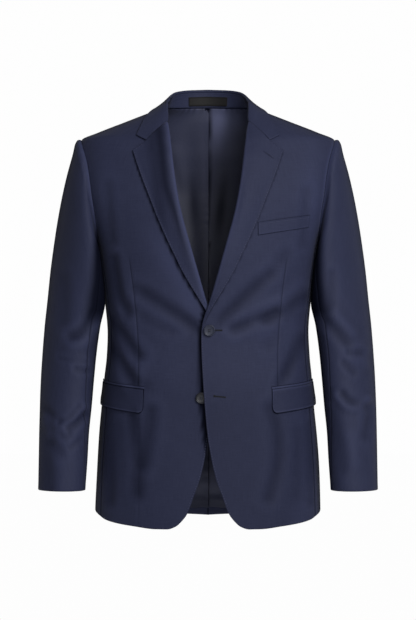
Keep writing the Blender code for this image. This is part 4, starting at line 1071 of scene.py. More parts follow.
def sleeve_oval(ring, angle):
    """A ring of the sleeve through its outer and inner points."""
    outer_x, outer_z, inner_x, inner_z, half_depth, middle_y, turn, front_seam = ring
    places = (0, SLEEVE_FRONT_SEAM, SLEEVE_BACK_SEAM, 360)
    angle = np.interp(angle, places, (0, front_seam, SLEEVE_BACK_SEAM, 360))
    angle, turn = np.radians(angle)[:, None], math.radians(turn)
    middle = np.array([(outer_x + inner_x) / 2, middle_y, (outer_z + inner_z) / 2])
    outward = np.array([(outer_x - inner_x) / 2, 0.0, (outer_z - inner_z) / 2])
    across = math.sqrt(outward[0] ** 2 - (half_depth * math.sin(turn)) ** 2)
    outward *= np.array([across / outward[0], 1.0, 1.0])
    forward = np.array([-half_depth * math.sin(turn), -half_depth * math.cos(turn), 0.0])
    return middle + outward * np.cos(angle) + forward * np.sin(angle)


def sleeve_surface(side, angle, level):
    """Points, normals and fold relief of a whole sleeve, made as the left one."""
    rings = [sleeve_oval([curve(at) for curve in SLEEVE_AT.values()], angle) for at in level]
    points = np.stack(rings)
    miss = armhole(angle) - points[0]
    head = np.clip(1 - level / HEAD_RINGS, 0, 1)[:, None, None] ** 1.5
    points += head * miss
    normals = grid_normals(points, closed=True)
    centre = points.mean(axis=1, keepdims=True)
    if np.sum((points - centre) * normals) < 0:
        normals = -normals
    across, height = points[..., 0], points[..., 2]
    relief = np.zeros(height.shape)
    for middle, at, reach, spread, depth in metres(ELBOW_FOLDS[side], keep=(0, 2)):
        turn = (angle[None] - middle + 180) % 360 - 180
        relief -= depth * bump(turn, 0, reach) * bump(height, at, spread)
    front = smoothstep(0.05, 0.40, -normals[..., 1])
    behind = smoothstep(0.05, 0.40, normals[..., 1])
    relief += crease_relief(SLEEVE_CREASES[side], across, height) * front
    relief += crease_relief(ELBOW_CREASES[side], across, height) * behind
    crown = np.abs((angle + 180) % 360 - 180)[None]
    relief += 1.0 * MM * bump(level, 1.6, 1.0)[:, None] * smoothstep(95, 60, crown)
    gather = np.sin(np.radians(angle) * 22)[None] * bump(level, 1.6, 1.5)[:, None]
    relief += 0.18 * MM * gather * smoothstep(120, 70, crown)
    return points + normals * relief[..., None], normals, relief


def make_sleeve_piece(side, first, last, name):
    """The top or under sleeve, between two seams given as armhole angles."""
    angle = np.arange(0, 360, ARMHOLE_STEP)
    level = np.concatenate([np.linspace(0, 2, 9), np.linspace(2, 16, 140)[1:]])
    points, normals, folds = sleeve_surface(side, angle, level)
    around = np.arange(first, last + 1, ARMHOLE_STEP) % 360
    index = around // ARMHOLE_STEP
    points, normals, folds = points[:, index].copy(), normals[:, index], folds[:, index]
    for column, inwards in ((0, 1), (-1, -2)):
        points[:, column] += unit(points[:, inwards] - points[:, column]) * SEAM_GAP / 2
    points[0] += unit(points[2] - points[0]) * SEAM_GAP
    start, end, head, cuff = from_edges(points)
    relief = seam_groove(start) + seam_groove(end) + seam_groove(head)
    relief += 0.3 * MM * bump(cuff, 3 * MM, 3 * MM)
    points += normals * relief[..., None]
    height = points[..., 2]
    # Painted shade along the seams, in the folds' troughs and on the inner side where the sleeve turns
    # away. Painted light on the folds' ridges and beside the armhole seam.
    shadow = np.maximum(seam_shadow(start), seam_shadow(end))
    shadow = 0.3 * np.maximum(shadow, seam_shadow(head, MM))
    behind = smoothstep(250, 215, around)
    at_seam = UNDERSIDE_SHADE[side]
    inner = at_seam * smoothstep(144, 152, around) + (0.95 - at_seam) * smoothstep(158, 188, around)
    inner = inner * behind * smoothstep(-0.17, -0.24, height)
    turning = smoothstep(104, 138 if side == RIGHT else 144, around) * behind
    turning = turning * smoothstep(-0.21, -0.25, height) * smoothstep(-0.402, -0.362, height)
    lit = 0.40 * bump(head, 2 * MM, 4 * MM) * smoothstep(-0.235, -0.20, height)
    shadow = shaded(shaded(fold_tone(folds), shadow) - lit, np.maximum(inner, 0.97 * turning))
    cloth_shell(
        name, points, normals, CLOTH, np.stack([start + first * MM, -head], -1), shadow, side,
        inside=lambda centre: centre[:, 2] > -0.655, seams="top start end",
    )


def bent_row(first, corner, last, share):
    """Distances along a line from first to last that turns at a corner."""
    first, corner, last = np.array((first, corner, last), float)

    def at(position):
        position = np.asarray(position, float)[..., None]
        low = first + (corner - first) * np.clip(position / share, 0, 1)
        high = (last - corner) * np.clip((position - share) / (1 - share), 0, 1)
        return low + high

    return at


LAPEL_ROWS = 150
NOTCH_COLUMN = 18
FACE_COLUMN = 20


def collar_lift(step):
    """How far the collar's lying part stands off the front, from its seam to its edge."""
    base = COLLAR_SEAM_LIFT * (1 - step) + COLLAR_EDGE_LIFT * step
    return base + COLLAR_SPRING * np.sin(math.pi * step)


def lapel_path(width, radius):
    """Distance from the crease and height over the front, along a section of the lapel."""
    middle = radius + LAPEL_CLOTH / 2
    depth = FACING_DEPTH * radius / LAPEL_ROLL
    path = [(middle + FACING_STRIP * k / 4, -depth) for k in (4, 3, 2, 1)]
    for turn in np.radians(np.linspace(270, 90, 15)):
        height = radius if turn < math.pi else depth
        path.append((middle + radius * math.cos(turn), height * math.sin(turn)))
    start = middle + 0.001 * radius / LAPEL_ROLL
    whole = math.dist(GORGE_TOP, LAPEL_TIP)
    notch = (NOTCH_SHARE * whole - start) / (whole - start)
    at_gorge = smoothstep(0.066, 0.074, width)
    free = max(width - start, 0.0008)
    edge = 1 - np.array((12, 9, 6.6, 4.8, 3.6, 2.6, 1.6, 0.8, 0)) * MM / max(free, 0.02)
    shares = np.concatenate([np.linspace(0.03, edge[0], 26)[:-1], edge])
    shares[NOTCH_COLUMN] += (notch - shares[NOTCH_COLUMN]) * at_gorge
    for share in shares:
        spring = LAPEL_SPRING * math.sin(math.pi * min(share, 0.90)) * min(1.0, width / 0.05)
        path.append((start + free * share, radius + 0.0002 + spring))
    return np.array(path)


def lapel_surface(side):
    """Points, outward directions and flat places of a lapel, from the gorge to the break."""
    end = LAPEL_END[side]
    creases = np.linspace(GORGE_TOP[1], end, LAPEL_ROWS)
    edges = np.linspace(LAPEL_TIP[1], end - LAPEL_END_DROP, LAPEL_ROWS)
    gorge = bent_row(GORGE_TOP, NOTCH, LAPEL_TIP, NOTCH_SHARE)
    points, outward, flats = [], [], []
    for row in range(LAPEL_ROWS):
        crease = np.array([float(ROLL_ACROSS(creases[row])), creases[row]])
        edge = np.array([float(LAPEL_ACROSS(edges[row])), edges[row]])
        width = np.linalg.norm(edge - crease)
        path = lapel_path(width, float(roll_radius(creases[row])))
        share = path[:, 0] / width
        place = crease + (edge - crease) * share[:, None]
        bend = max(0.0, 1 - row / (LAPEL_ROWS - 1) / GORGE_REACH) ** 2
        straight = np.array(GORGE_TOP) + np.subtract(LAPEL_TIP, GORGE_TOP) * share[:, None]
        place += (gorge(share) - straight) * bend
        surface, normal = on_front(side, place)
        step = np.clip(share * COLLAR_NOTCH_SHARE / NOTCH_SHARE, 0, 1)
        face = smoothstep(LAPEL_ROLL, 4 * LAPEL_ROLL, path[:, 0]) * (path[:, 1] > 0)
        sewn = (path[:, 1] + COLLAR_ROLL_RISE) * (1 - face) + collar_lift(step) * face
        join = smoothstep(GORGE_BLEND_ROWS, 0, row)
        lift = path[:, 1] * (1 - join) + sewn * join
        lift += EDGE_SPRING * smoothstep(0.6, 1.0, share) * float(bump(creases[row], -0.29, 0.10))
        points.append(surface + normal * lift[:, None])
        outward.append(normal)
        flats.append(place)
    return np.array(points), np.array(outward), np.array(flats)


def make_lapel(side):
    grid, outward, flats = lapel_surface(side)
    normals = grid_normals(grid)
    normals *= np.sign(np.sum(normals[:, -2] * outward[:, -2], axis=-1))[:, None, None]
    inner, edge = from_edges(grid)[:2]
    row = np.arange(len(grid))[:, None]
    face = smoothstep(0.022, 0.030, inner)
    picks = bump(edge, STITCH_INSET, STITCH_SPREAD) * (0.5 + 0.5 * np.cos(math.pi * row / 1.5))
    relief = face * (-STITCH_DIMPLE * picks + 0.3 * MM * bump(edge, 2 * MM, 2 * MM))
    relief += 0.5 * MM * np.sin(grid[..., 2] * 38 + 2 * side) * face * smoothstep(0, 0.03, edge)
    grid += normals * relief[..., None]
    beyond = grid[..., 0] - grid[..., 0].min(axis=1, keepdims=True)
    height = grid[..., 2]
    # Painted shade in the stitch dimples. On the right lapel, bands of painted shade across its face
    # beside the roll and a painted highlight on the roll. On the left one, a little painted shade all
    # over, painted light beside the roll at chest height and a painted highlight on the roll.
    shadow = 0.12 * picks * face
    if side == RIGHT:
        middle = 0.0155 - 0.0085 * smoothstep(-0.13, -0.215, height)
        painted_lapel_shade = 0.66 * bump(beyond, middle, 0.0080) * smoothstep(-0.33, -0.19, height)
        painted_lapel_shade += 0.37 * bump(beyond, 0.030, 0.010) * smoothstep(-0.25, -0.17, height)
        shadow = shadow + painted_lapel_shade * face - 0.62 * bump(beyond, 0.0, 0.0040)
    else:
        shadow = shadow + 0.04 - 0.16 * bump(beyond, 0.002, 0.018) * bump(height, -0.215, 0.07)
        shadow -= 0.16 * bump(beyond, 0.0, 0.0040)
    along_top = np.clip(from_edges(flats)[0][0] / math.dist(GORGE_TOP, NOTCH), 0, 1)
    cloth_shell(
        "lapel", grid, normals, LAPEL_CLOTH, flats + np.array([0.3, 0.0]), shadow, side,
        rounding={"top": part_sewn(smoothstep(0.93, 1.0, along_top))},
    )


def part_sewn(free):
    """The rounding of an edge that is sewn at 0 and free at 1."""
    return SEAM_ROUNDING + (EDGE_ROUNDING - SEAM_ROUNDING) * free


def neck_seam(along):
    """The neck seam from the centre back (0) to the gorge (1), on the left side."""
    along = np.asarray(along, float)
    back_share = np.clip(along / NECK_POINT_ALONG, 0, 1)
    back = body_point(
        math.pi - back_share * math.pi / 2,
        NAPE + (NECK_POINT - NAPE) * back_share**NAPE_CURVE,
    )
    front_share = np.clip((along - NECK_POINT_ALONG) / (1 - NECK_POINT_ALONG), 0, 1)
    line = inner_front_line()
    line = line[line[:, 1] >= GORGE_TOP[1] - 1e-6][::-1]
    measure = body_point(line[:, 0], line[:, 1])
    front = resample(measure, front_share.ravel(), measure).reshape(*along.shape, 3)
    return np.where((along < NECK_POINT_ALONG)[..., None], back, front)


def collar_frames(along):
    """For each place along the collar: neck seam, crease, outward and rising directions."""
    seam = neck_seam(along)
    small = 0.01
    tangent = unit(neck_seam(np.clip(along + small, 0, 1)) - neck_seam(np.clip(along - small, 0, 1)))
    outward = unit(np.cross(tangent, np.broadcast_to(UPRIGHT, tangent.shape)))
    outward *= np.sign(np.sum(outward * (seam - NECK_MIDDLE), axis=-1, keepdims=True))
    bearing = np.arctan2(seam[..., 0], -seam[..., 1])
    body = body_normal(bearing, seam[..., 2])
    front = smoothstep(NECK_POINT_ALONG, 1.0, along)[..., None]
    rising = unit(UPRIGHT * (1 - front) + body * front)
    lean, rise = COLLAR_AT["lean"](along)[..., None], COLLAR_AT["rise"](along)[..., None]
    return seam, seam - outward * lean + rising * rise, outward, rising


def collar_edge(along):
    """The collar's outer edge on the body, and the body's normal there."""
    bearing = np.radians(COLLAR_AT["edge_bearing"](along))
    return on_body(np.stack([bearing, COLLAR_AT["edge_height"](along)], -1))


def collar_steps():
    low = np.linspace(0.07, COLLAR_NOTCH_SHARE, 17)
    high = np.linspace(COLLAR_NOTCH_SHARE, 1.0, 12)[1:]
    return np.concatenate([low, high])


COLLAR_TURNS = 12


def lying_collar(crease, edge, near_end):
    """Sections of the collar where it lies on the front, made as the top of the lapel is."""
    middle = LAPEL_ROLL + LAPEL_CLOTH / 2
    turns = np.radians(np.linspace(180, 90, COLLAR_TURNS))
    steps = collar_steps()
    fold = crease[:, ::2]
    run = edge[:, ::2] - fold
    whole = math.dist(GORGE_TOP, COLLAR_CORNER)
    distance = np.concatenate([[middle - LAPEL_ROLL], middle + LAPEL_ROLL * np.cos(turns)]) / whole
    rolled = np.concatenate([[-0.002], LAPEL_ROLL * np.sin(turns)]) + COLLAR_ROLL_RISE
    share = np.concatenate([distance, steps])
    face = smoothstep(LAPEL_ROLL, 4 * LAPEL_ROLL, steps * whole)
    lying = (LAPEL_ROLL + COLLAR_ROLL_RISE + 0.0002) * (1 - face) + collar_lift(steps) * face
    lift = np.concatenate([rolled, lying])
    gorge = bent_row(GORGE_TOP, NOTCH, COLLAR_CORNER, COLLAR_NOTCH_SHARE)(share)
    gorge -= unit(np.array([NOTCH[1] - GORGE_TOP[1], GORGE_TOP[0] - NOTCH[0]])) * GORGE_GAP
    straight = fold[-1] + run[-1] * share[:, None]
    flat = fold[:, None] + run[:, None] * share[:, None] + near_end[:, :, None] * (gorge - straight)
    surface, normal = on_front(LEFT, flat)
    miss = (crease - surface[:, 0]) * (1 - near_end)
    held = smoothstep(0.6, 0.0, share)
    return surface + normal * lift[:, None] + miss[:, None] * held[:, None]


def collar_fall_half(along):
    """Sections of the collar's fall: free at the back, and lying on the front near the gorge."""
    crease, outward, rising = collar_frames(along)[1:]
    edge, edge_normal = collar_edge(along)
    middle = crease + outward * CREASE_RADIUS - rising * CREASE_RADIUS
    columns = [crease - rising * CREASE_FLANK]
    for turn in np.radians(np.linspace(180, 30, COLLAR_TURNS)):
        columns.append(middle + (outward * math.cos(turn) + rising * math.sin(turn)) * CREASE_RADIUS)
    start = columns[-1]
    raised = edge + edge_normal * COLLAR_EDGE_LIFT
    belly = unit(edge_normal + rising) * COLLAR_AT["belly"](along)[..., None]
    control = (start + raised) / 2 + belly
    columns += [curved(step, start, control, raised) for step in collar_steps()]
    free = np.stack(columns, axis=1)
    lying = smoothstep(NECK_POINT_ALONG, 0.98, along)[:, None, None]
    near_end = smoothstep(0.72, 1.0, along)[:, None] ** 1.5
    laid = lying_collar(crease - outward * LAPEL_CLOTH / 2, edge, near_end)
    return free * (1 - lying) + laid * lying


def whole_collar(half):
    """A strip from one gorge to the other, from the half that starts at the centre back."""
    return np.concatenate([mirrored(-1, half[::-1]), half[1:]])


def faired(grid, count):
    """Rows of a grid resampled along a smooth curve through them."""
    padded = np.concatenate([2 * grid[:1] - grid[1:2], grid, 2 * grid[-1:] - grid[-2:-1]])
    at = np.linspace(0, len(grid) - 1, count)
    first = np.minimum(at.astype(int), len(grid) - 2)
    t = (at - first).reshape(-1, *[1] * (grid.ndim - 1))
    before, start, end, after = (padded[first + k] for k in range(4))
    return 0.5 * (
        2 * start + (end - before) * t
        + (2 * before - 5 * start + 4 * end - after) * t**2
        + (3 * start - before - 3 * end + after) * t**3
    )


COLLAR_SECTIONS = 15
COLLAR_ROWS = 225
STAND_SECTIONS = 12


def make_collar_fall():
    along = np.linspace(0.0, 1.0, COLLAR_SECTIONS)
    grid = faired(whole_collar(collar_fall_half(along)), COLLAR_ROWS)
    normals = grid_normals(grid)
    reference = faired(whole_collar(collar_edge(along)[1]), COLLAR_ROWS)
    normals *= np.sign(np.sum(normals[:, -2] * reference, axis=-1))[:, None, None]
    inner, edge, start, end = from_edges(grid)
    grid += normals * (0.3 * MM * bump(edge, 2 * MM, 2 * MM))[..., None]
    steps = np.concatenate([np.zeros(grid.shape[1] - len(collar_steps())), collar_steps()])
    free = smoothstep(COLLAR_NOTCH_SHARE - 0.05, COLLAR_NOTCH_SHARE, steps)
    shadow = 0.6 * np.maximum(seam_shadow(start, MM), seam_shadow(end, MM)) * (1 - free)
    shadow = np.maximum(shadow, 0.2 * seam_shadow(inner, MM))
    cloth_shell(
        "collar_fall", grid, normals, LAPEL_CLOTH, np.stack([start, inner], -1) + 0.9, shadow,
        seams="start", rounding={"top": part_sewn(free), "low": part_sewn(free)},
    )


def collar_stand_half(along, shares):
    """The stand inside the neck, from below the neck seam up to just under the crease."""
    seam, crease, outward, rising = collar_frames(along)
    bottom = seam - outward * STAND_INSET - rising * STAND_LAP
    top = crease - rising * STAND_TOP_DROP
    return np.stack([bottom + (top - bottom) * share for share in shares], axis=1)


def stand_surface(shares):
    """The stand as one strip, with its rows as the collar's."""
    along = np.linspace(0.0, 1.0, COLLAR_SECTIONS)[:STAND_SECTIONS]
    return faired(whole_collar(collar_stand_half(along, shares)), COLLAR_ROWS)


def facing_neck(grid):
    """The normals of a strip round the neck, on its side that faces the neck."""
    normals = grid_normals(grid)
    return normals * -np.sign(np.sum((grid - NECK_MIDDLE) * normals, axis=-1, keepdims=True))


def make_collar_stand():
    grid = stand_surface(np.linspace(0, 1, 16))
    normals = facing_neck(grid)
    low, high, start = from_edges(grid)[:3]
    quilting = bump(high, 3.5 * MM, 0.8 * MM) + 0.8 * bump(high, 9.5 * MM, 0.9 * MM)
    grid -= normals * 0.25 * MM * quilting[..., None]
    shadow = np.maximum(0.25 * seam_shadow(low), 0.15 * quilting)
    cloth_shell(
        "collar_stand", grid, normals, CLOTH, np.stack([start, low], -1) + 1.7, shadow,
        seams="start end",
    )


def make_label():
    """The bare neck label, on the stand's face at the centre back."""
    strip = stand_surface(np.linspace(LABEL_BOTTOM, LABEL_TOP, 14))
    order = np.linspace(-LABEL_HALF_WIDTH, LABEL_HALF_WIDTH, 64)
    near = np.abs(strip[:, 7, 0]) < 1.6 * LABEL_HALF_WIDTH
    behind = near & (strip[:, 7, 1] > 0)
    across = strip[behind, 7, 0]
    rows = strip[behind][np.argsort(across)]
    across = np.sort(across)
    grid = np.stack([between(order, across, rows[:, j]) for j in range(rows.shape[1])], axis=1)
    normals = facing_neck(grid)
    low, high, start, end = from_edges(grid)
    border = np.minimum(np.minimum(low, high), np.minimum(start, end))
    lift = CLOTH / 2 + LABEL_GAP + STRIP_CLOTH / 2 - 0.4 * MM * bump(border, 1.6 * MM, 0.8 * MM)
    cloth_shell(
        "label", grid + normals * lift[..., None], normals, STRIP_CLOTH, np.stack([start, low], -1),
        bump(border, 1.6 * MM, 0.7 * MM), slot="label",
    )


def make_lining(side):
    """Half of the back's lining. At the centre the right half laps over the left one."""
    domain = back_panel_domain()
    bearing, height = domain[..., 0], domain[..., 1]
    points, normals = on_body(domain)
    near_hem = np.clip(1 - np.arange(len(points)) / 40, 0, 1)[:, None, None]
    rise = points[1] - points[0]
    points += near_hem * (rise * LINING_HEM / rise[:, 2:])[None]
    points[:, -1] += unit(points[:, -2] - points[:, -1]) * LINING_INSET
    points[-1] += unit(points[-2] - points[-1]) * LINING_TOP_INSET
    shift = -PLEAT_EDGE if side == RIGHT else -PLEAT_UNDER
    points[..., 0] += shift * smoothstep(0.03, 0.0, points[..., 0])
    centre, seam, low, high = from_edges(points)
    x, z = points[..., 0], points[..., 2]
    below_neck = smoothstep(0.0, 0.030, high)
    if side == RIGHT:
        stand = smoothstep(PLEAT_REACH, 0.0, centre)
    else:
        stand = 0.25 * bump(centre, 0.034, 0.018)
    lift = CLOTH / 2 + LINING_GAP + LINING_CLOTH / 2 + PLEAT_STAND * stand * below_neck
    gathers = np.sin(x * 2 * math.pi / 0.0085 + 1.4 * np.sin(x * 90)) * np.exp(-high / 0.010)
    lift = lift + 1.0 * MM * np.exp(-high / 0.006) + 0.55 * MM * gathers
    drape = np.sin(x * 62 + 1.1 * side + 6 * z) + 0.6 * np.sin(x * 118 - 9 * z + side)
    body = smoothstep(0.0, 0.06, high) * smoothstep(0.0, 0.05, low) * smoothstep(0.0, 0.03, seam)
    lift += 0.9 * MM * (1.6 + drape) * body * smoothstep(0.0, 0.02, centre)
    along_pleat = np.sin(z * 2 * math.pi / 0.017 + 1.4 * np.sin(z * 40)) * bump(z, -0.20, 0.06)
    along_pleat += np.sin(z * 2 * math.pi / 0.021) * bump(z, -0.68, 0.04)
    lift += 0.8 * MM * (1 + along_pleat) * bump(centre, 0.0, 0.010) * below_neck
    blouse = 2.2 * MM * bump(low, 0.014, 0.008) + 0.8 * MM * bump(low, 0.040, 0.016)
    lift += blouse * (1 + 0.25 * np.sin(x * 95))
    points = points - normals * lift[..., None]
    points[..., 2] += 1.3 * MM * np.sin(x * 130 + 0.6) * np.exp(-low / 0.02)
    # Painted shade and painted highlights in soft patches, and painted shade and light in bands near the
    # hem.
    shadow = patches(LINING_PATCHES[side], x, z)
    for strength, at, reach in metres(LINING_BANDS, keep=(0,)):
        shadow += strength * bump(z, at, reach)
    # On the left half, painted shadow in the narrow slot along the right half's edge, and painted light
    # over the rest. On the right half, painted shade along its edge at the centre.
    if side == LEFT:
        depth = (0.6 + 2.2 * bump(z, -0.024, 0.018) + 0.6 * bump(z, -0.065, 0.030)) * MM
        slot = np.exp(-((np.maximum(points[..., 0] - PLEAT_EDGE, 0) / depth) ** 4))
        slot *= 1 - 0.55 * smoothstep(-0.23, -0.27, z)
        shadow = shaded(shadow - 0.12, 0.92 * slot)
        points[..., 2] += 0.004 * smoothstep(0.001, -0.003, points[..., 0]) * np.exp(-low / 0.03)
    else:
        shadow += 0.10 * seam_shadow(centre, MM)
    # Painted shade and painted light following the gathers under the neck.
    shadow += 0.45 * gathers * np.exp(-high / 0.008)
    cloth_shell(
        "lining", points, -normals, LINING_CLOTH, np.stack([bearing * 0.12 + side, height], -1),
        shadow, side, slot="lining",
    )


def rounded_drop(share, width, corner):
    """How much shorter a flap is near its ends, where its lower corners are rounded."""
    distance = np.minimum(share, 1 - share) * width
    inside = np.clip(1 - distance / corner, 0, 1)
    return corner * (1 - np.sqrt(1 - inside**2))


def pocket_line(share):
    """Bearing and height of the mouth of the hip pocket."""
    share = np.asarray(share, float)
    bearing = np.radians(FLAP_FRONT_BEARING + (FLAP_BACK_BEARING - FLAP_FRONT_BEARING) * share)
    return bearing, FLAP_FRONT_HEIGHT + (FLAP_BACK_HEIGHT - FLAP_FRONT_HEIGHT) * share


def flap_surface(side, share, level):
    """Points and normals of a flap, level 0 at the pocket's mouth and 1 at its lower edge."""
    bearing, height = pocket_line(share)
    depth = FLAP_DEPTH * (1 - 0.07 * np.asarray(share)) - rounded_drop(share, FLAP_WIDTH, FLAP_CORNER)
    surface, normal = front_surface(side, bearing, height - depth * level)
    lift = CLOTH / 2 + SEAM_GAP + FLAP_CLOTH / 2 + FLAP_SPRING * level**1.5
    return surface + normal * np.asarray(lift)[..., None], normal


def make_flap(side):
    ends = (0, 0.8, 1.8, 3.0, 4.4, 6, 8, 10.5)
    share = crowded_shares(FLAP_WIDTH, ends, ends, 44)
    level = crowded_shares(FLAP_DEPTH, (0, 1.2, 2.6), (0, 0.9, 1.9, 3.0, 4.2, 5.4, 7), 12)
    grid, normals = flap_surface(side, *np.meshgrid(share, level))
    front, back, top, low = from_edges(grid)
    edge = np.minimum(np.minimum(front, back), low)
    relief = 0.3 * MM * (bump(edge, 1.8 * MM, 1.8 * MM) - bump(edge, 4.2 * MM, 1.4 * MM))
    ease = np.sin(front * 46 + side) * 0.35 * MM * smoothstep(0.0, 0.02, top)
    grid += normals * (relief + ease)[..., None]
    # Painted shade along the right flap's top and a painted highlight along the left one's, a band of
    # painted light inside the free edges, a painted shadow line on the lower edge and front end, and
    # painted shade all over.
    mouth = 0.55 * seam_shadow(top, MM) if side == RIGHT else -0.45 * bump(top, 1.5 * MM, 1.5 * MM)
    shadow = mouth - 0.34 * bump(edge, 2.9 * MM, 0.9 * MM)
    rim = 0.85 * smoothstep(1.8 * MM, 0.7 * MM, low)
    rim += FLAP_END_SHADE[side] * smoothstep(1.8 * MM, 0.7 * MM, front)
    shadow = shaded(shadow, np.clip(rim * (0.55 + 0.45 * bump(share, 0.0, 0.25)), 0, 0.9))
    coords = np.stack([front, -top], -1) + 2.5
    cloth_shell("flap", grid, normals, FLAP_CLOTH, coords, shadow + FLAP_SHADE[side], side)


def make_jetting(side):
    """The narrow welt above the flap."""
    bearing, height = pocket_line(np.linspace(0.0, 1.0, 60))
    level = np.linspace(0.0, 1.0, 6)[:, None]
    z = height[None] + SEAM_GAP + JETTING_DEPTH * level
    bearing = np.broadcast_to(bearing, z.shape)
    surface, normal = front_surface(side, bearing, z)
    puff = 0.5 * MM * np.sin(math.pi * level)
    grid = surface + normal * (CLOTH / 2 + SEAM_GAP + STRIP_CLOTH / 2 + puff)[..., None]
    # Painted shade along the top and painted light along the middle. Along the lower edge, painted shade
    # on the right side and a painted highlight on the left.
    shadow = 0.75 * seam_shadow((1 - level) * JETTING_DEPTH, MM) - 0.30 * bump(level, 0.5, 0.3)
    shadow += (0.6 if side == RIGHT else -0.35) * seam_shadow(level * JETTING_DEPTH, MM)
    coords = np.stack([bearing * 0.16, z], -1) + 3.1
    cloth_shell("jetting", grid, normal, STRIP_CLOTH, coords, shadow, side)


def make_chest_welt():
    low_in, high_in, high_out, low_out = np.array(WELT_CORNERS)
    ends = (0, 1, 2, 3.5)
    share = crowded_shares(WELT_WIDTH, ends, ends, 36)[None, :, None]
    level = crowded_shares(WELT_DEPTH, ends, (0, 0.9, 1.9, 3, 4.2, 5.4), 6)[:, None, None]
    first = low_in + (high_in - low_in) * level
    last = low_out + (high_out - low_out) * level
    place = first + (last - first) * share
    surface, normal = on_front(LEFT, place)
    start, end, low, high = from_edges(surface)
    nearest = np.minimum(np.minimum(start, end), low)
    lift = CLOTH / 2 + WELT_GAP + STRIP_CLOTH / 2 - 0.5 * MM * bump(nearest, 0, 1.6 * MM)
    lift -= 0.25 * MM * bump(high, 4.2 * MM, 1.3 * MM)
    # Painted shade along the ends, the lower edge and the top, and painted light a little inside the sewn
    # edges.
    shadow = 0.55 * seam_shadow(nearest, MM) + 0.45 * seam_shadow(high, MM)
    shadow -= 0.16 * bump(nearest, 2.4 * MM, MM)
    grid = surface + normal * lift[..., None]
    cloth_shell("chest_welt", grid, normal, STRIP_CLOTH, place + 3.7, shadow)


def spaced(points, normals, spacing):
    """Places, directions and normals at even distances along a line."""
    length = line_lengths(points)
    at = np.arange(spacing / 2, length[-1] - spacing / 2, spacing)
    places = between(at, length, points)
    return places, unit(between(at + MM, length, points) - places), unit(between(at, length, normals))


def ring_faces(rings, sides, closed=False):
    """Faces that join rings of points, with an end on the first and the last unless closed."""
    faces = []
    for i in range(rings if closed else rings - 1):
        after = (i + 1) % rings
        for k in range(sides):
            m = (k + 1) % sides
            faces.append((i * sides + k, i * sides + m, after * sides + m, after * sides + k))
    if not closed:
        faces.append(tuple(range(sides))[::-1])
        faces.append(tuple((rings - 1) * sides + k for k in range(sides)))
    return faces


def stitch_line(side, points, normals, spacing=STITCH_SPACING):
    """Small sunk stitches along a line, each as vertices and faces."""
    places, forward, facing = spaced(mirrored(side, points), mirrored(side, normals), spacing)
    turns = np.linspace(0, 2 * math.pi, STITCH_SIDES, endpoint=False)[:, None]
    stitches = []
    for place, ahead, up in zip(places, forward, facing):
        spokes = unit(np.cross(up, ahead)) * np.cos(turns) + up * np.sin(turns) * 0.7
        rings = [
            place + ahead * shift * STITCH_LENGTH + spokes * STITCH_RADIUS * radius
            for shift, radius in STITCH_RINGS
        ]
        stitches.append((np.concatenate(rings), ring_faces(len(rings), STITCH_SIDES)))
    return stitches


def at_distance(points, normals, distance, wanted):
    """On each row of a grid, the point and normal at a wanted distance from an edge."""
    found = []
    for place, facing, far in zip(points, normals, distance):
        order = np.argsort(far)
        both = np.concatenate([place, facing], axis=1)[order]
        found.append(between(wanted, far[order], both))
    found = np.array(found)
    return found[:, :3], unit(found[:, 3:])


def make_stitches():
    """The pick stitching along lapels, front edges, flaps and the chest welt."""
    pieces = []
    for side in (LEFT, RIGHT):
        grid, outward, flats = lapel_surface(side)
        edge, top = from_edges(grid)[1:3]
        face = grid + outward * (LAPEL_CLOTH / 2 + 0.12 * MM)
        rows = np.arange(2, int(LAPEL_ROWS * 0.93))
        on_face = (v[rows, FACE_COLUMN + 2:] for v in (face, outward, edge))
        pieces += stitch_line(side, *at_distance(*on_face, STITCH_INSET))
        along = np.linalg.norm(flats[0] - GORGE_TOP, axis=-1)
        beyond_notch = (along > math.dist(GORGE_TOP, NOTCH) + MM) & (edge[0] > 2 * STITCH_INSET)
        columns = np.nonzero(beyond_notch)[0]
        columns = columns[columns > FACE_COLUMN + 2]
        swapped = (np.swapaxes(v[:8, columns], 0, 1) for v in (face, outward, top))
        pieces += stitch_line(side, *at_distance(*swapped, STITCH_INSET))
        height = np.linspace(BREAK - 0.012, HEM_CORNER + 0.01, 160)
        surface, normal = on_front(side, np.stack([EDGE_ACROSS(height) + STITCH_INSET, height], -1))
        line = surface + normal * (CLOTH / 2 + 0.26 * MM)
        pieces += stitch_line(side, line, normal, EDGE_STITCH_SPACING)
        inset = STITCH_INSET * 0.85
        share = inset / FLAP_WIDTH + (1 - 2 * inset / FLAP_WIDTH) * np.linspace(0, 1, 120)
        surface, normal = flap_surface(side, share, np.full(share.shape, 1 - inset / FLAP_DEPTH))
        pieces += stitch_line(side, surface + normal * (FLAP_CLOTH / 2 - 0.1 * MM), normal)
    high_in, high_out = np.array(WELT_CORNERS)[1:3]
    share = np.linspace(0.02, 0.98, 80)[:, None]
    surface, normal = on_front(LEFT, high_in + (high_out - high_in) * share - [0.0, 0.0042])
    line = surface + normal * (CLOTH / 2 + WELT_GAP + STRIP_CLOTH + 0.05 * MM)
    pieces += stitch_line(LEFT, line, normal, STITCH_SPACING * 0.7)
    make_mesh("pick_stitching", *joined(pieces), "pick")


def tube(points, normals, radius, sides=8, closed=False):
    """Vertices and faces of a thin tube along a line."""
    if closed:
        ahead = unit(np.roll(points, -1, axis=0) - np.roll(points, 1, axis=0))
    else:
        ahead = unit(np.gradient(points, axis=0))
    across = unit(np.cross(normals, ahead))[:, None]
    turn = np.linspace(0, 2 * math.pi, sides, endpoint=False)[None, :, None]
    rings = points[:, None] + radius * (across * np.cos(turn) + normals[:, None] * np.sin(turn))
    return rings.reshape(-1, 3), ring_faces(len(points), sides, closed)


def joined(pieces):
    vertices, faces, start = [], [], 0
    for points, polygons in pieces:
        vertices.append(np.asarray(points))
        faces += [tuple(start + v for v in polygon) for polygon in polygons]
        start += len(points)
    return np.concatenate(vertices), faces


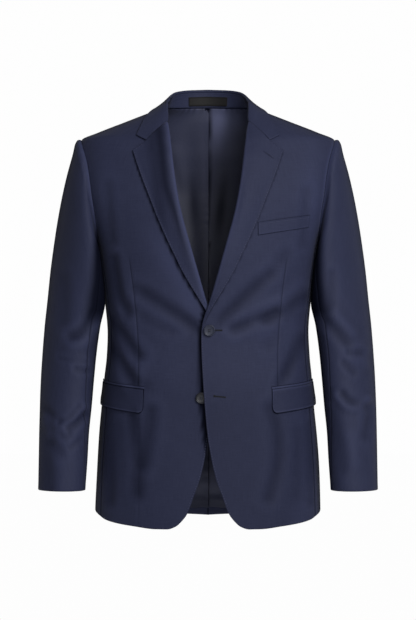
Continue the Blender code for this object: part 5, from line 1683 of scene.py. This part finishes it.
def make_buttonhole(name, ends, place_on, eyelet=True):
    """A worked buttonhole: a wrapped thread edge round a dark slit, with a keyhole at its start."""
    start, end = np.array(ends)
    length = np.linalg.norm(end - start)
    ahead = (end - start) / length
    beside = np.array([-ahead[1], ahead[0]])
    turn = np.linspace(0, 2 * math.pi, 90, endpoint=False)[:, None]
    along = length / 2 * (1 - np.cos(turn))
    half = (0.95 + 0.76 * bump(along, 1.2 * MM, 1.7 * MM) if eyelet else 0.70) * MM
    aside = half * np.sign(np.sin(turn)) * np.minimum(1.0, np.abs(np.sin(turn)) * 5)
    surface, normal = place_on(start + ahead * along + beside * aside)
    lift = (0.10 if eyelet else -0.20) * MM
    ring = tube(surface + normal * lift, normal, 0.55 * MM, closed=True)
    line, line_normal = place_on(start + ahead * length * np.linspace(0.02, 0.98, 20)[:, None])
    slit_radius = (0.50 if eyelet else 0.30) * MM
    parts = [ring, tube(line + line_normal * (lift - 0.04 * MM), line_normal, slit_radius, sides=6)]
    if eyelet:
        spot, spot_normal = place_on((start + ahead * 1.2 * MM)[None])
        across = unit(np.cross(spot_normal[0], UPRIGHT))
        eye = ((1.35 * MM, -0.3 * MM), (1.2 * MM, 0.5 * MM))
        parts.append(turned(spot[0], spot_normal[0], across, UPRIGHT, eye, 16))
    vertices, faces = joined(parts)
    obj = make_mesh(name, vertices, faces, "thread" if eyelet else "wool")
    # The slit and keyhole of the front buttonholes take the near-black slit material, a painted shadow.
    obj.data.materials.append(Finish.gap if eyelet else Finish.thread)
    marks = np.zeros(len(faces), int)
    marks[len(ring[1]):] = 1
    obj.data.polygons.foreach_set("material_index", marks)


def on_left_front(place):
    """The face of the left front at places seen from the front, with its normals."""
    surface, normal = on_front(LEFT, place)
    return surface + normal * CLOTH / 2, normal


def on_left_lapel(place):
    """The lapel's face at places seen from the front, read from its own surface."""
    grid, outward, flats = lapel_surface(LEFT)
    face = flats[:, FACE_COLUMN:].reshape(-1, 2)
    points = (grid + outward * LAPEL_CLOTH / 2)[:, FACE_COLUMN:].reshape(-1, 3)
    normals = outward[:, FACE_COLUMN:].reshape(-1, 3)
    found, found_normals = [], []
    for spot in place:
        gap = np.sum((face - spot) ** 2, axis=1)
        near = np.argsort(gap)[:4]
        weight = 1 / (gap[near] + 1e-9)
        found.append(weight @ points[near] / weight.sum())
        found_normals.append(normals[near[0]])
    return np.array(found), np.array(found_normals)


def button_frame(place, side):
    """Where a button stands: its base, the normal there and two directions across it."""
    surface, normal = on_front(side, np.array([place]) * [side, 1.0])
    surface, normal = mirrored(side, surface)[0], mirrored(side, normal)[0]
    right = unit(np.cross(UPRIGHT, normal))
    return surface + normal * (CLOTH / 2 + BUTTON_GAP), normal, right, np.cross(normal, right)


def turned(base, normal, right, up, profile, sides):
    """A closed turned solid from its profile of radius and rise."""
    turns = np.linspace(0, 2 * math.pi, sides, endpoint=False)[:, None]
    spokes = right * np.cos(turns) + up * np.sin(turns)
    rings = [base + spokes * radius + normal * rise for radius, rise in profile]
    ends = [(base + normal * profile[i][1])[None] for i in (0, -1)]
    vertices = np.concatenate([ends[0], *rings, ends[1]])
    faces = []
    top = 1 + (len(profile) - 1) * sides
    for k in range(sides):
        after = (k + 1) % sides
        faces.append((0, 1 + after, 1 + k))
        for low in range(1, top, sides):
            faces.append((low + k, low + after, low + sides + after, low + sides + k))
        faces.append((top + k, top + after, len(vertices) - 1))
    return vertices, faces


def button_profile():
    """A button's radius and rise, from under its rim over the top to the middle of its dish."""
    low, top = SHANK_LENGTH, SHANK_LENGTH + BUTTON_THICKNESS
    round_edge, shoulder = 1.1 * MM, BUTTON_RADIUS - 1.1 * MM
    outline = [(BUTTON_RADIUS - 2.6 * MM, low), (BUTTON_RADIUS - 1.4 * MM, low + 0.25 * MM)]
    for turn in np.radians(np.linspace(-50, 90, 9)):
        outline.append((shoulder + round_edge * math.cos(turn), top - round_edge * (1 - math.sin(turn))))
    for share in np.linspace(0, 1, 7)[1:]:
        drop = BUTTON_DISH * float(smoothstep(0, 1, share))
        outline.append((shoulder - (BUTTON_RIM + 0.4 * MM) * share * 0.7, top - drop))
    outline.append((BUTTON_RADIUS * 0.35, top - BUTTON_DISH * 1.08))
    return outline


def make_button(name, place, side):
    """A dished button with four holes."""
    base, normal, right, up = button_frame(place, side)
    solid = turned(base, normal, right, up, button_profile(), 64)
    obj = make_mesh(name, *solid, "button", dark=BUTTON_SHADE[side])
    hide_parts(name)
    bore = ((HOLE_RADIUS, SHANK_LENGTH + 1.3 * MM), (HOLE_RADIUS, SHANK_LENGTH + 6 * MM))
    bpy.context.view_layer.objects.active = obj
    for i, j in ((-1, -1), (-1, 1), (1, -1), (1, 1)):
        spot = base + right * i * HOLE_SPACING / 2 + up * j * HOLE_SPACING / 2
        points, polygons = turned(spot, normal, right, up, bore, 20)
        mesh = bpy.data.meshes.new("hole")
        mesh.from_pydata(points.tolist(), [], polygons)
        cutter = linked("hole", mesh)
        cut = obj.modifiers.new("hole", "BOOLEAN")
        cut.operation = "DIFFERENCE"
        cut.solver = "EXACT"
        cut.object = cutter
        with bpy.context.temp_override(object=obj, active_object=obj):
            bpy.ops.object.modifier_apply(modifier=cut.name)
        bpy.data.objects.remove(cutter)
    obj.data.shade_smooth()
    obj.data.set_sharp_from_angle(angle=math.radians(50))


def make_button_thread(name, place, side):
    """Two bars of thread between the holes, and the wound thread under the button."""
    base, normal, right, up = button_frame(place, side)
    pieces = []
    along = np.linspace(-1, 1, 13)[:, None]
    lift = SHANK_LENGTH + BUTTON_THICKNESS - BUTTON_DISH + 0.22 * MM - 1.5 * MM * np.abs(along) ** 6
    for j in (-1, 1):
        for strand in (-0.28, 0.0, 0.28):
            line = base + right * along * HOLE_SPACING / 2 + up * (j * HOLE_SPACING / 2 + strand * MM)
            line += normal * lift
            pieces.append(tube(line, np.broadcast_to(normal, line.shape), 0.20 * MM, sides=6))
    foot = ((1.9 * MM, -BUTTON_GAP + 0.1 * MM), (1.6 * MM, 0.2 * MM), (1.7 * MM, SHANK_LENGTH + 0.2 * MM))
    pieces.append(turned(base, normal, right, up, foot, 20))
    make_mesh(name, *joined(pieces), "thread")


def wire(tree, socket, value):
    """Sets a socket to a number, colour or vector, or links an output to it."""
    if isinstance(value, bpy.types.NodeSocket):
        tree.links.new(value, socket)
    elif isinstance(value, tuple) and len(socket.default_value) == 4:
        socket.default_value = (*value, 1.0)
    else:
        socket.default_value = value


def node(tree, kind, inputs=(), **values):
    """A new shader node with its settings, and its inputs set or linked."""
    made = tree.nodes.new("ShaderNode" + kind)
    for key, value in values.items():
        setattr(made, key, value)
    for label, value in dict(inputs).items():
        wire(tree, made.inputs[label], value)
    return made


def map_range(tree, value, given, wanted, clamp=True):
    """A value carried from a given range to a wanted one."""
    labels = ("Value", "From Min", "From Max", "To Min", "To Max")
    inputs = dict(zip(labels, (value, *given, *wanted)))
    return node(tree, "MapRange", inputs, clamp=clamp).outputs[0]


def math_node(tree, operation, *values):
    return node(tree, "Math", enumerate(values), operation=operation).outputs[0]


def times(tree, first, second):
    return math_node(tree, "MULTIPLY", first, second)


def plus(tree, first, second):
    return math_node(tree, "ADD", first, second)


def mean(tree, first, second):
    return times(tree, plus(tree, first, second), 0.5)


def new_group(name, inputs, outputs):
    """A group of shader nodes, with its own inputs and outputs. None stands for a vector."""
    group = bpy.data.node_groups.new(name, "ShaderNodeTree")
    for label, default in inputs.items():
        if default is None:
            group.interface.new_socket(label, in_out="INPUT", socket_type="NodeSocketVector")
        else:
            socket = group.interface.new_socket(label, in_out="INPUT", socket_type="NodeSocketFloat")
            socket.default_value = default
    for label in outputs:
        group.interface.new_socket(label, in_out="OUTPUT", socket_type="NodeSocketFloat")
    start = group.nodes.new("NodeGroupInput")
    end = group.nodes.new("NodeGroupOutput")
    return group, start.outputs, end.inputs


def weave_group():
    """Twill or satin threads: a height and a light and dark mask from the cloth's coordinates."""
    inputs = {"Cloth": None, "Threads": 1500.0, "Slant": 1.0}
    group, given, result = new_group("Weave", inputs, ("Height", "Mask"))
    across, along = node(group, "SeparateXYZ", {0: given["Cloth"]}).outputs[:2]
    slanted = times(group, along, given["Slant"])
    diagonal = plus(group, across, slanted)
    lines = times(group, diagonal, given["Threads"])
    twill = math_node(group, "SINE", times(group, lines, 2 * math.pi))
    fine = times(group, across, given["Threads"])
    warp = math_node(group, "SINE", times(group, fine, 4 * math.pi))
    height = plus(group, twill, times(group, warp, 0.4))
    wire(group, result["Height"], height)
    mask = plus(group, times(group, twill, 0.5), 0.5)
    wire(group, result["Mask"], mask)
    return group


def mottle_group():
    """Soft uneven tone over the cloth: a mask from 0 to 1 from two sizes of noise."""
    inputs = {"Place": None, "Large": 14.0, "Small": 260.0}
    group, given, result = new_group("Mottle", inputs, ("Mask",))
    masks = []
    for size, detail in (("Large", 2.0), ("Small", 3.0)):
        inputs = {"Vector": given["Place"], "Scale": given[size], "Detail": detail}
        masks.append(node(group, "TexNoise", inputs).outputs["Fac"])
    wire(group, result["Mask"], mean(group, *masks))
    return group


def yarn_group():
    """Uneven yarns: a mask about 0.5 from noise drawn out along the warp and along the weft."""
    group, given, result = new_group("Yarn", {"Cloth": None}, ("Mask",))
    masks = []
    for scale in ((900.0, 38.0, 1.0), (38.0, 900.0, 1.0)):
        stretched = node(group, "Mapping", {"Vector": given["Cloth"], "Scale": scale})
        inputs = {"Vector": stretched.outputs[0], "Scale": 1.0, "Detail": 2.0}
        masks.append(node(group, "TexNoise", inputs).outputs["Fac"])
    wire(group, result["Mask"], mean(group, *masks))
    return group


def mix_colour(tree, factor, first, second):
    inputs = {0: factor, 6: first, 7: second}
    return node(tree, "Mix", inputs, data_type="RGBA", clamp_factor=True).outputs[2]


def lighter(colour, gain):
    return tuple(v * gain for v in colour)


def new_material(name, settings):
    """A material with its tree and its shader's inputs, set as listed."""
    material = bpy.data.materials.new(name)
    material.use_nodes = True
    tree = material.node_tree
    shader = tree.nodes["Principled BSDF"].inputs
    for label, value in settings.items():
        wire(tree, shader[label], value)
    return material, tree, shader


def cloth_material(name, colours, weave, mottle, settings, threads, slant, relief, groups, slub=0.05):
    """A woven cloth: base colour from mottle and weave, with painted shade in seams and folds and painted
    light, and a weave relief.
    """
    dark, middle, light = colours
    material, tree, shader = new_material(name, settings)
    cloth = node(tree, "UVMap", uv_map="cloth").outputs[0]
    place = node(tree, "TexCoord").outputs["Object"]
    woven = {"Cloth": cloth, "Threads": threads, "Slant": slant}
    woven = node(tree, "Group", woven, node_tree=groups["weave"]).outputs
    uneven = node(tree, "Group", {"Place": place}, node_tree=groups["mottle"]).outputs["Mask"]
    yarn = node(tree, "Group", {"Cloth": cloth}, node_tree=groups["yarn"]).outputs["Mask"]
    shadow = node(tree, "Attribute", attribute_name="shadow").outputs["Fac"]
    spread = map_range(tree, uneven, (0.35, 0.65), (0.5 - mottle, 0.5 + mottle))
    fibre = times(tree, woven["Mask"], weave)
    tone = plus(tree, spread, plus(tree, fibre, -weave / 2))
    streaks = map_range(tree, yarn, (0.40, 0.60), (-slub, slub), clamp=False)
    tone = plus(tree, tone, streaks)
    colour = mix_colour(tree, tone, middle, light)
    # Painted shade mixes towards the shade colour where the shadow attribute is above 0, and painted
    # highlight mixes towards a paler copy of the light colour where it is below 0
    colour = mix_colour(tree, times(tree, shadow, 0.92), colour, dark)
    glow = times(tree, shadow, -0.80)
    colour = mix_colour(tree, glow, colour, lighter(light, 2.1))
    # Painted shade towards the silhouette, where the cloth turns away from the camera
    facing = node(tree, "LayerWeight", {"Blend": 0.5}).outputs["Facing"]
    turned_away = map_range(tree, facing, (0.62, 1.0), (0.0, 0.60))
    wire(tree, shader["Base Color"], mix_colour(tree, turned_away, colour, dark))
    duller = plus(tree, shadow, times(tree, turned_away, 1.6))
    for label in ("Specular IOR Level", "Sheen Weight"):
        full = settings[label]
        wire(tree, shader[label], map_range(tree, duller, (0.0, 1.0), (full, 0.05 * full)))
    rough = settings["Roughness"]
    rough = map_range(tree, uneven, (0.0, 1.0), (rough - 0.05, rough + 0.07))
    wire(tree, shader["Roughness"], rough)
    threads_up = {"Strength": relief, "Distance": 0.12 * MM, "Height": woven["Height"]}
    wire(tree, shader["Normal"], node(tree, "Bump", threads_up).outputs[0])
    return material


def trim_material(name, colour, pale, settings, sizes, groups):
    """A small trim's finish: one colour with a fine unevenness, dark where it lies in shadow."""
    material, tree, shader = new_material(name, settings)
    place = node(tree, "TexCoord").outputs["Object"]
    sizes = {"Place": place, **sizes}
    uneven = node(tree, "Group", sizes, node_tree=groups["mottle"]).outputs["Mask"]
    shadow = node(tree, "Attribute", attribute_name="shadow").outputs["Fac"]
    colour = mix_colour(tree, uneven, colour, lighter(colour, pale))
    wire(tree, shader["Base Color"], mix_colour(tree, shadow, colour, NAVY_SHADE))
    return material


def make_materials():
    groups = {"weave": weave_group(), "mottle": mottle_group(), "yarn": yarn_group()}
    wool = {"Roughness": 0.66, "Sheen Weight": 0.06, "Sheen Roughness": 0.4, "Specular IOR Level": 0.22}
    satin = {"Roughness": 0.46, "Sheen Weight": 0.03, "Specular IOR Level": 0.32}
    Finish.wool = cloth_material(
        "wool", (NAVY_SHADE, NAVY, NAVY_LIGHT), 0.22, 0.14, wool, 2100.0, 1.0, 0.25, groups, 0.22,
    )
    Finish.lining = cloth_material(
        "lining", (NAVY_SHADE, SATIN, SATIN_LIGHT), 0.04, 0.20, satin, 2600.0, 0.1, 0.05, groups,
    )
    black = (LABEL_BLACK, LABEL_BLACK, lighter(LABEL_BLACK, 1.3))
    Finish.label = cloth_material("label", black, 0.15, 0.1, wool, 2400.0, 0.0, 0.1, groups)
    Finish.button = trim_material(
        "button", BUTTON_BLUE, 1.9,
        {"Roughness": 0.42, "Specular IOR Level": 0.35, "Coat Weight": 0.10, "Coat Roughness": 0.25},
        {"Large": 120.0, "Small": 420.0}, groups,
    )
    # The slit material's near-black is painted shadow in the buttonholes' cuts.
    trims = (
        ("thread", "thread", lighter(NAVY_SHADE, 2.2), 0.8),
        ("pick", "pick_thread", PICK_BLUE, 0.5),
        ("gap", "slit", lighter(NAVY_SHADE, 0.25), 0.9),
    )
    for slot, name, colour, rough in trims:
        finish = trim_material(name, colour, 1.5, {"Roughness": rough}, {"Large": 500.0}, groups)
        setattr(Finish, slot, finish)


def seen_or_lit(tree, lit, seen):
    """One shader for the light that falls on the jacket, and another for the camera."""
    path = node(tree, "LightPath").outputs["Is Camera Ray"]
    return node(tree, "MixShader", {0: path, 1: lit.outputs[0], 2: seen.outputs[0]}).outputs[0]


def floor_material():
    """Pale floor: the camera sees it a plain near white, like the background, and the light meets a pale
    rough surface.
    """
    material, tree = new_material("floor", {"Base Color": FLOOR_WHITE, "Roughness": 0.85})[:2]
    glow = node(tree, "Emission", {"Color": (0.985, 0.985, 0.985)})
    both = seen_or_lit(tree, tree.nodes["Principled BSDF"], glow)
    wire(tree, tree.nodes["Material Output"].inputs["Surface"], both)
    return material


def area_light(name, place, target, size, power):
    light = bpy.data.lights.new(name, "AREA")
    light.shape = "RECTANGLE"
    light.size, light.size_y = size
    light.energy = power
    obj = linked(name, light)
    obj.location = place
    obj.rotation_euler = (Vector(target) - Vector(place)).to_track_quat("-Z", "Y").to_euler()


def make_stage():
    """A large pale floor under the jacket, where the wearer would stand, and the sky."""
    size = 14.0
    corners = ((-size, -size), (size, -size), (size, size), (-size, size))
    mesh = bpy.data.meshes.new("floor")
    mesh.from_pydata([(x, y, FLOOR_HEIGHT) for x, y in corners], [], [(0, 1, 2, 3)])
    mesh.materials.append(floor_material())
    linked("floor", mesh)
    world = bpy.data.worlds.new("studio")
    bpy.context.scene.world = world
    world.use_nodes = True
    tree = world.node_tree
    tree.nodes.clear()
    light = node(tree, "Background", {"Color": (1.0, 1.0, 1.0), "Strength": 0.20})
    seen = node(tree, "Background", {"Color": (0.99, 0.99, 0.99), "Strength": 1.0})
    node(tree, "OutputWorld", {0: seen_or_lit(tree, light, seen)})


def make_lights():
    middle = (0.0, 0.0, -0.35)
    area_light("key", (1.55, -2.68, 1.25), middle, (1.1, 1.3), 66.0)
    area_light("front", (0.7, -3.9, 0.5), middle, (1.4, 1.6), 30.0)


def make_camera():
    camera = bpy.data.cameras.new("camera")
    camera.sensor_fit = "VERTICAL"
    camera.sensor_height = SENSOR
    camera.lens = SENSOR * CAMERA_DISTANCE / (PHOTO_HEIGHT / PHOTO_SCALE)
    obj = linked("camera", camera)
    obj.location = (0.0, -CAMERA_DISTANCE, CAMERA_HEIGHT)
    obj.rotation_euler = (math.pi / 2, 0.0, 0.0)
    bpy.context.scene.camera = obj
    settings = bpy.context.scene.view_settings
    settings.view_transform = "Standard"
    settings.look = "None"


def main():
    make_camera()
    make_stage()
    make_lights()
    make_materials()
    for side in (LEFT, RIGHT):
        make_front(side)
        make_side(side)
        make_back(side)
        make_sleeve_piece(side, SLEEVE_BACK_SEAM - 360, SLEEVE_FRONT_SEAM, "top_sleeve")
        make_sleeve_piece(side, SLEEVE_FRONT_SEAM, SLEEVE_BACK_SEAM, "under_sleeve")
        make_lapel(side)
        make_flap(side)
        make_jetting(side)
        make_lining(side)
    make_chest_welt()
    make_collar_fall()
    make_collar_stand()
    make_label()
    make_button("button_top", TOP_BUTTON, LEFT)
    make_button("button_lower", LOWER_BUTTON, RIGHT)
    make_button_thread("thread_top", TOP_BUTTON, LEFT)
    make_button_thread("thread_lower", LOWER_BUTTON, RIGHT)
    make_buttonhole("buttonhole_top", TOP_BUTTONHOLE, on_left_front)
    make_buttonhole("buttonhole_lower", LOWER_BUTTONHOLE, on_left_front)
    make_buttonhole("buttonhole_lapel", LAPEL_BUTTONHOLE, on_left_lapel, eyelet=False)
    make_stitches()
    declare_cloth()


main()
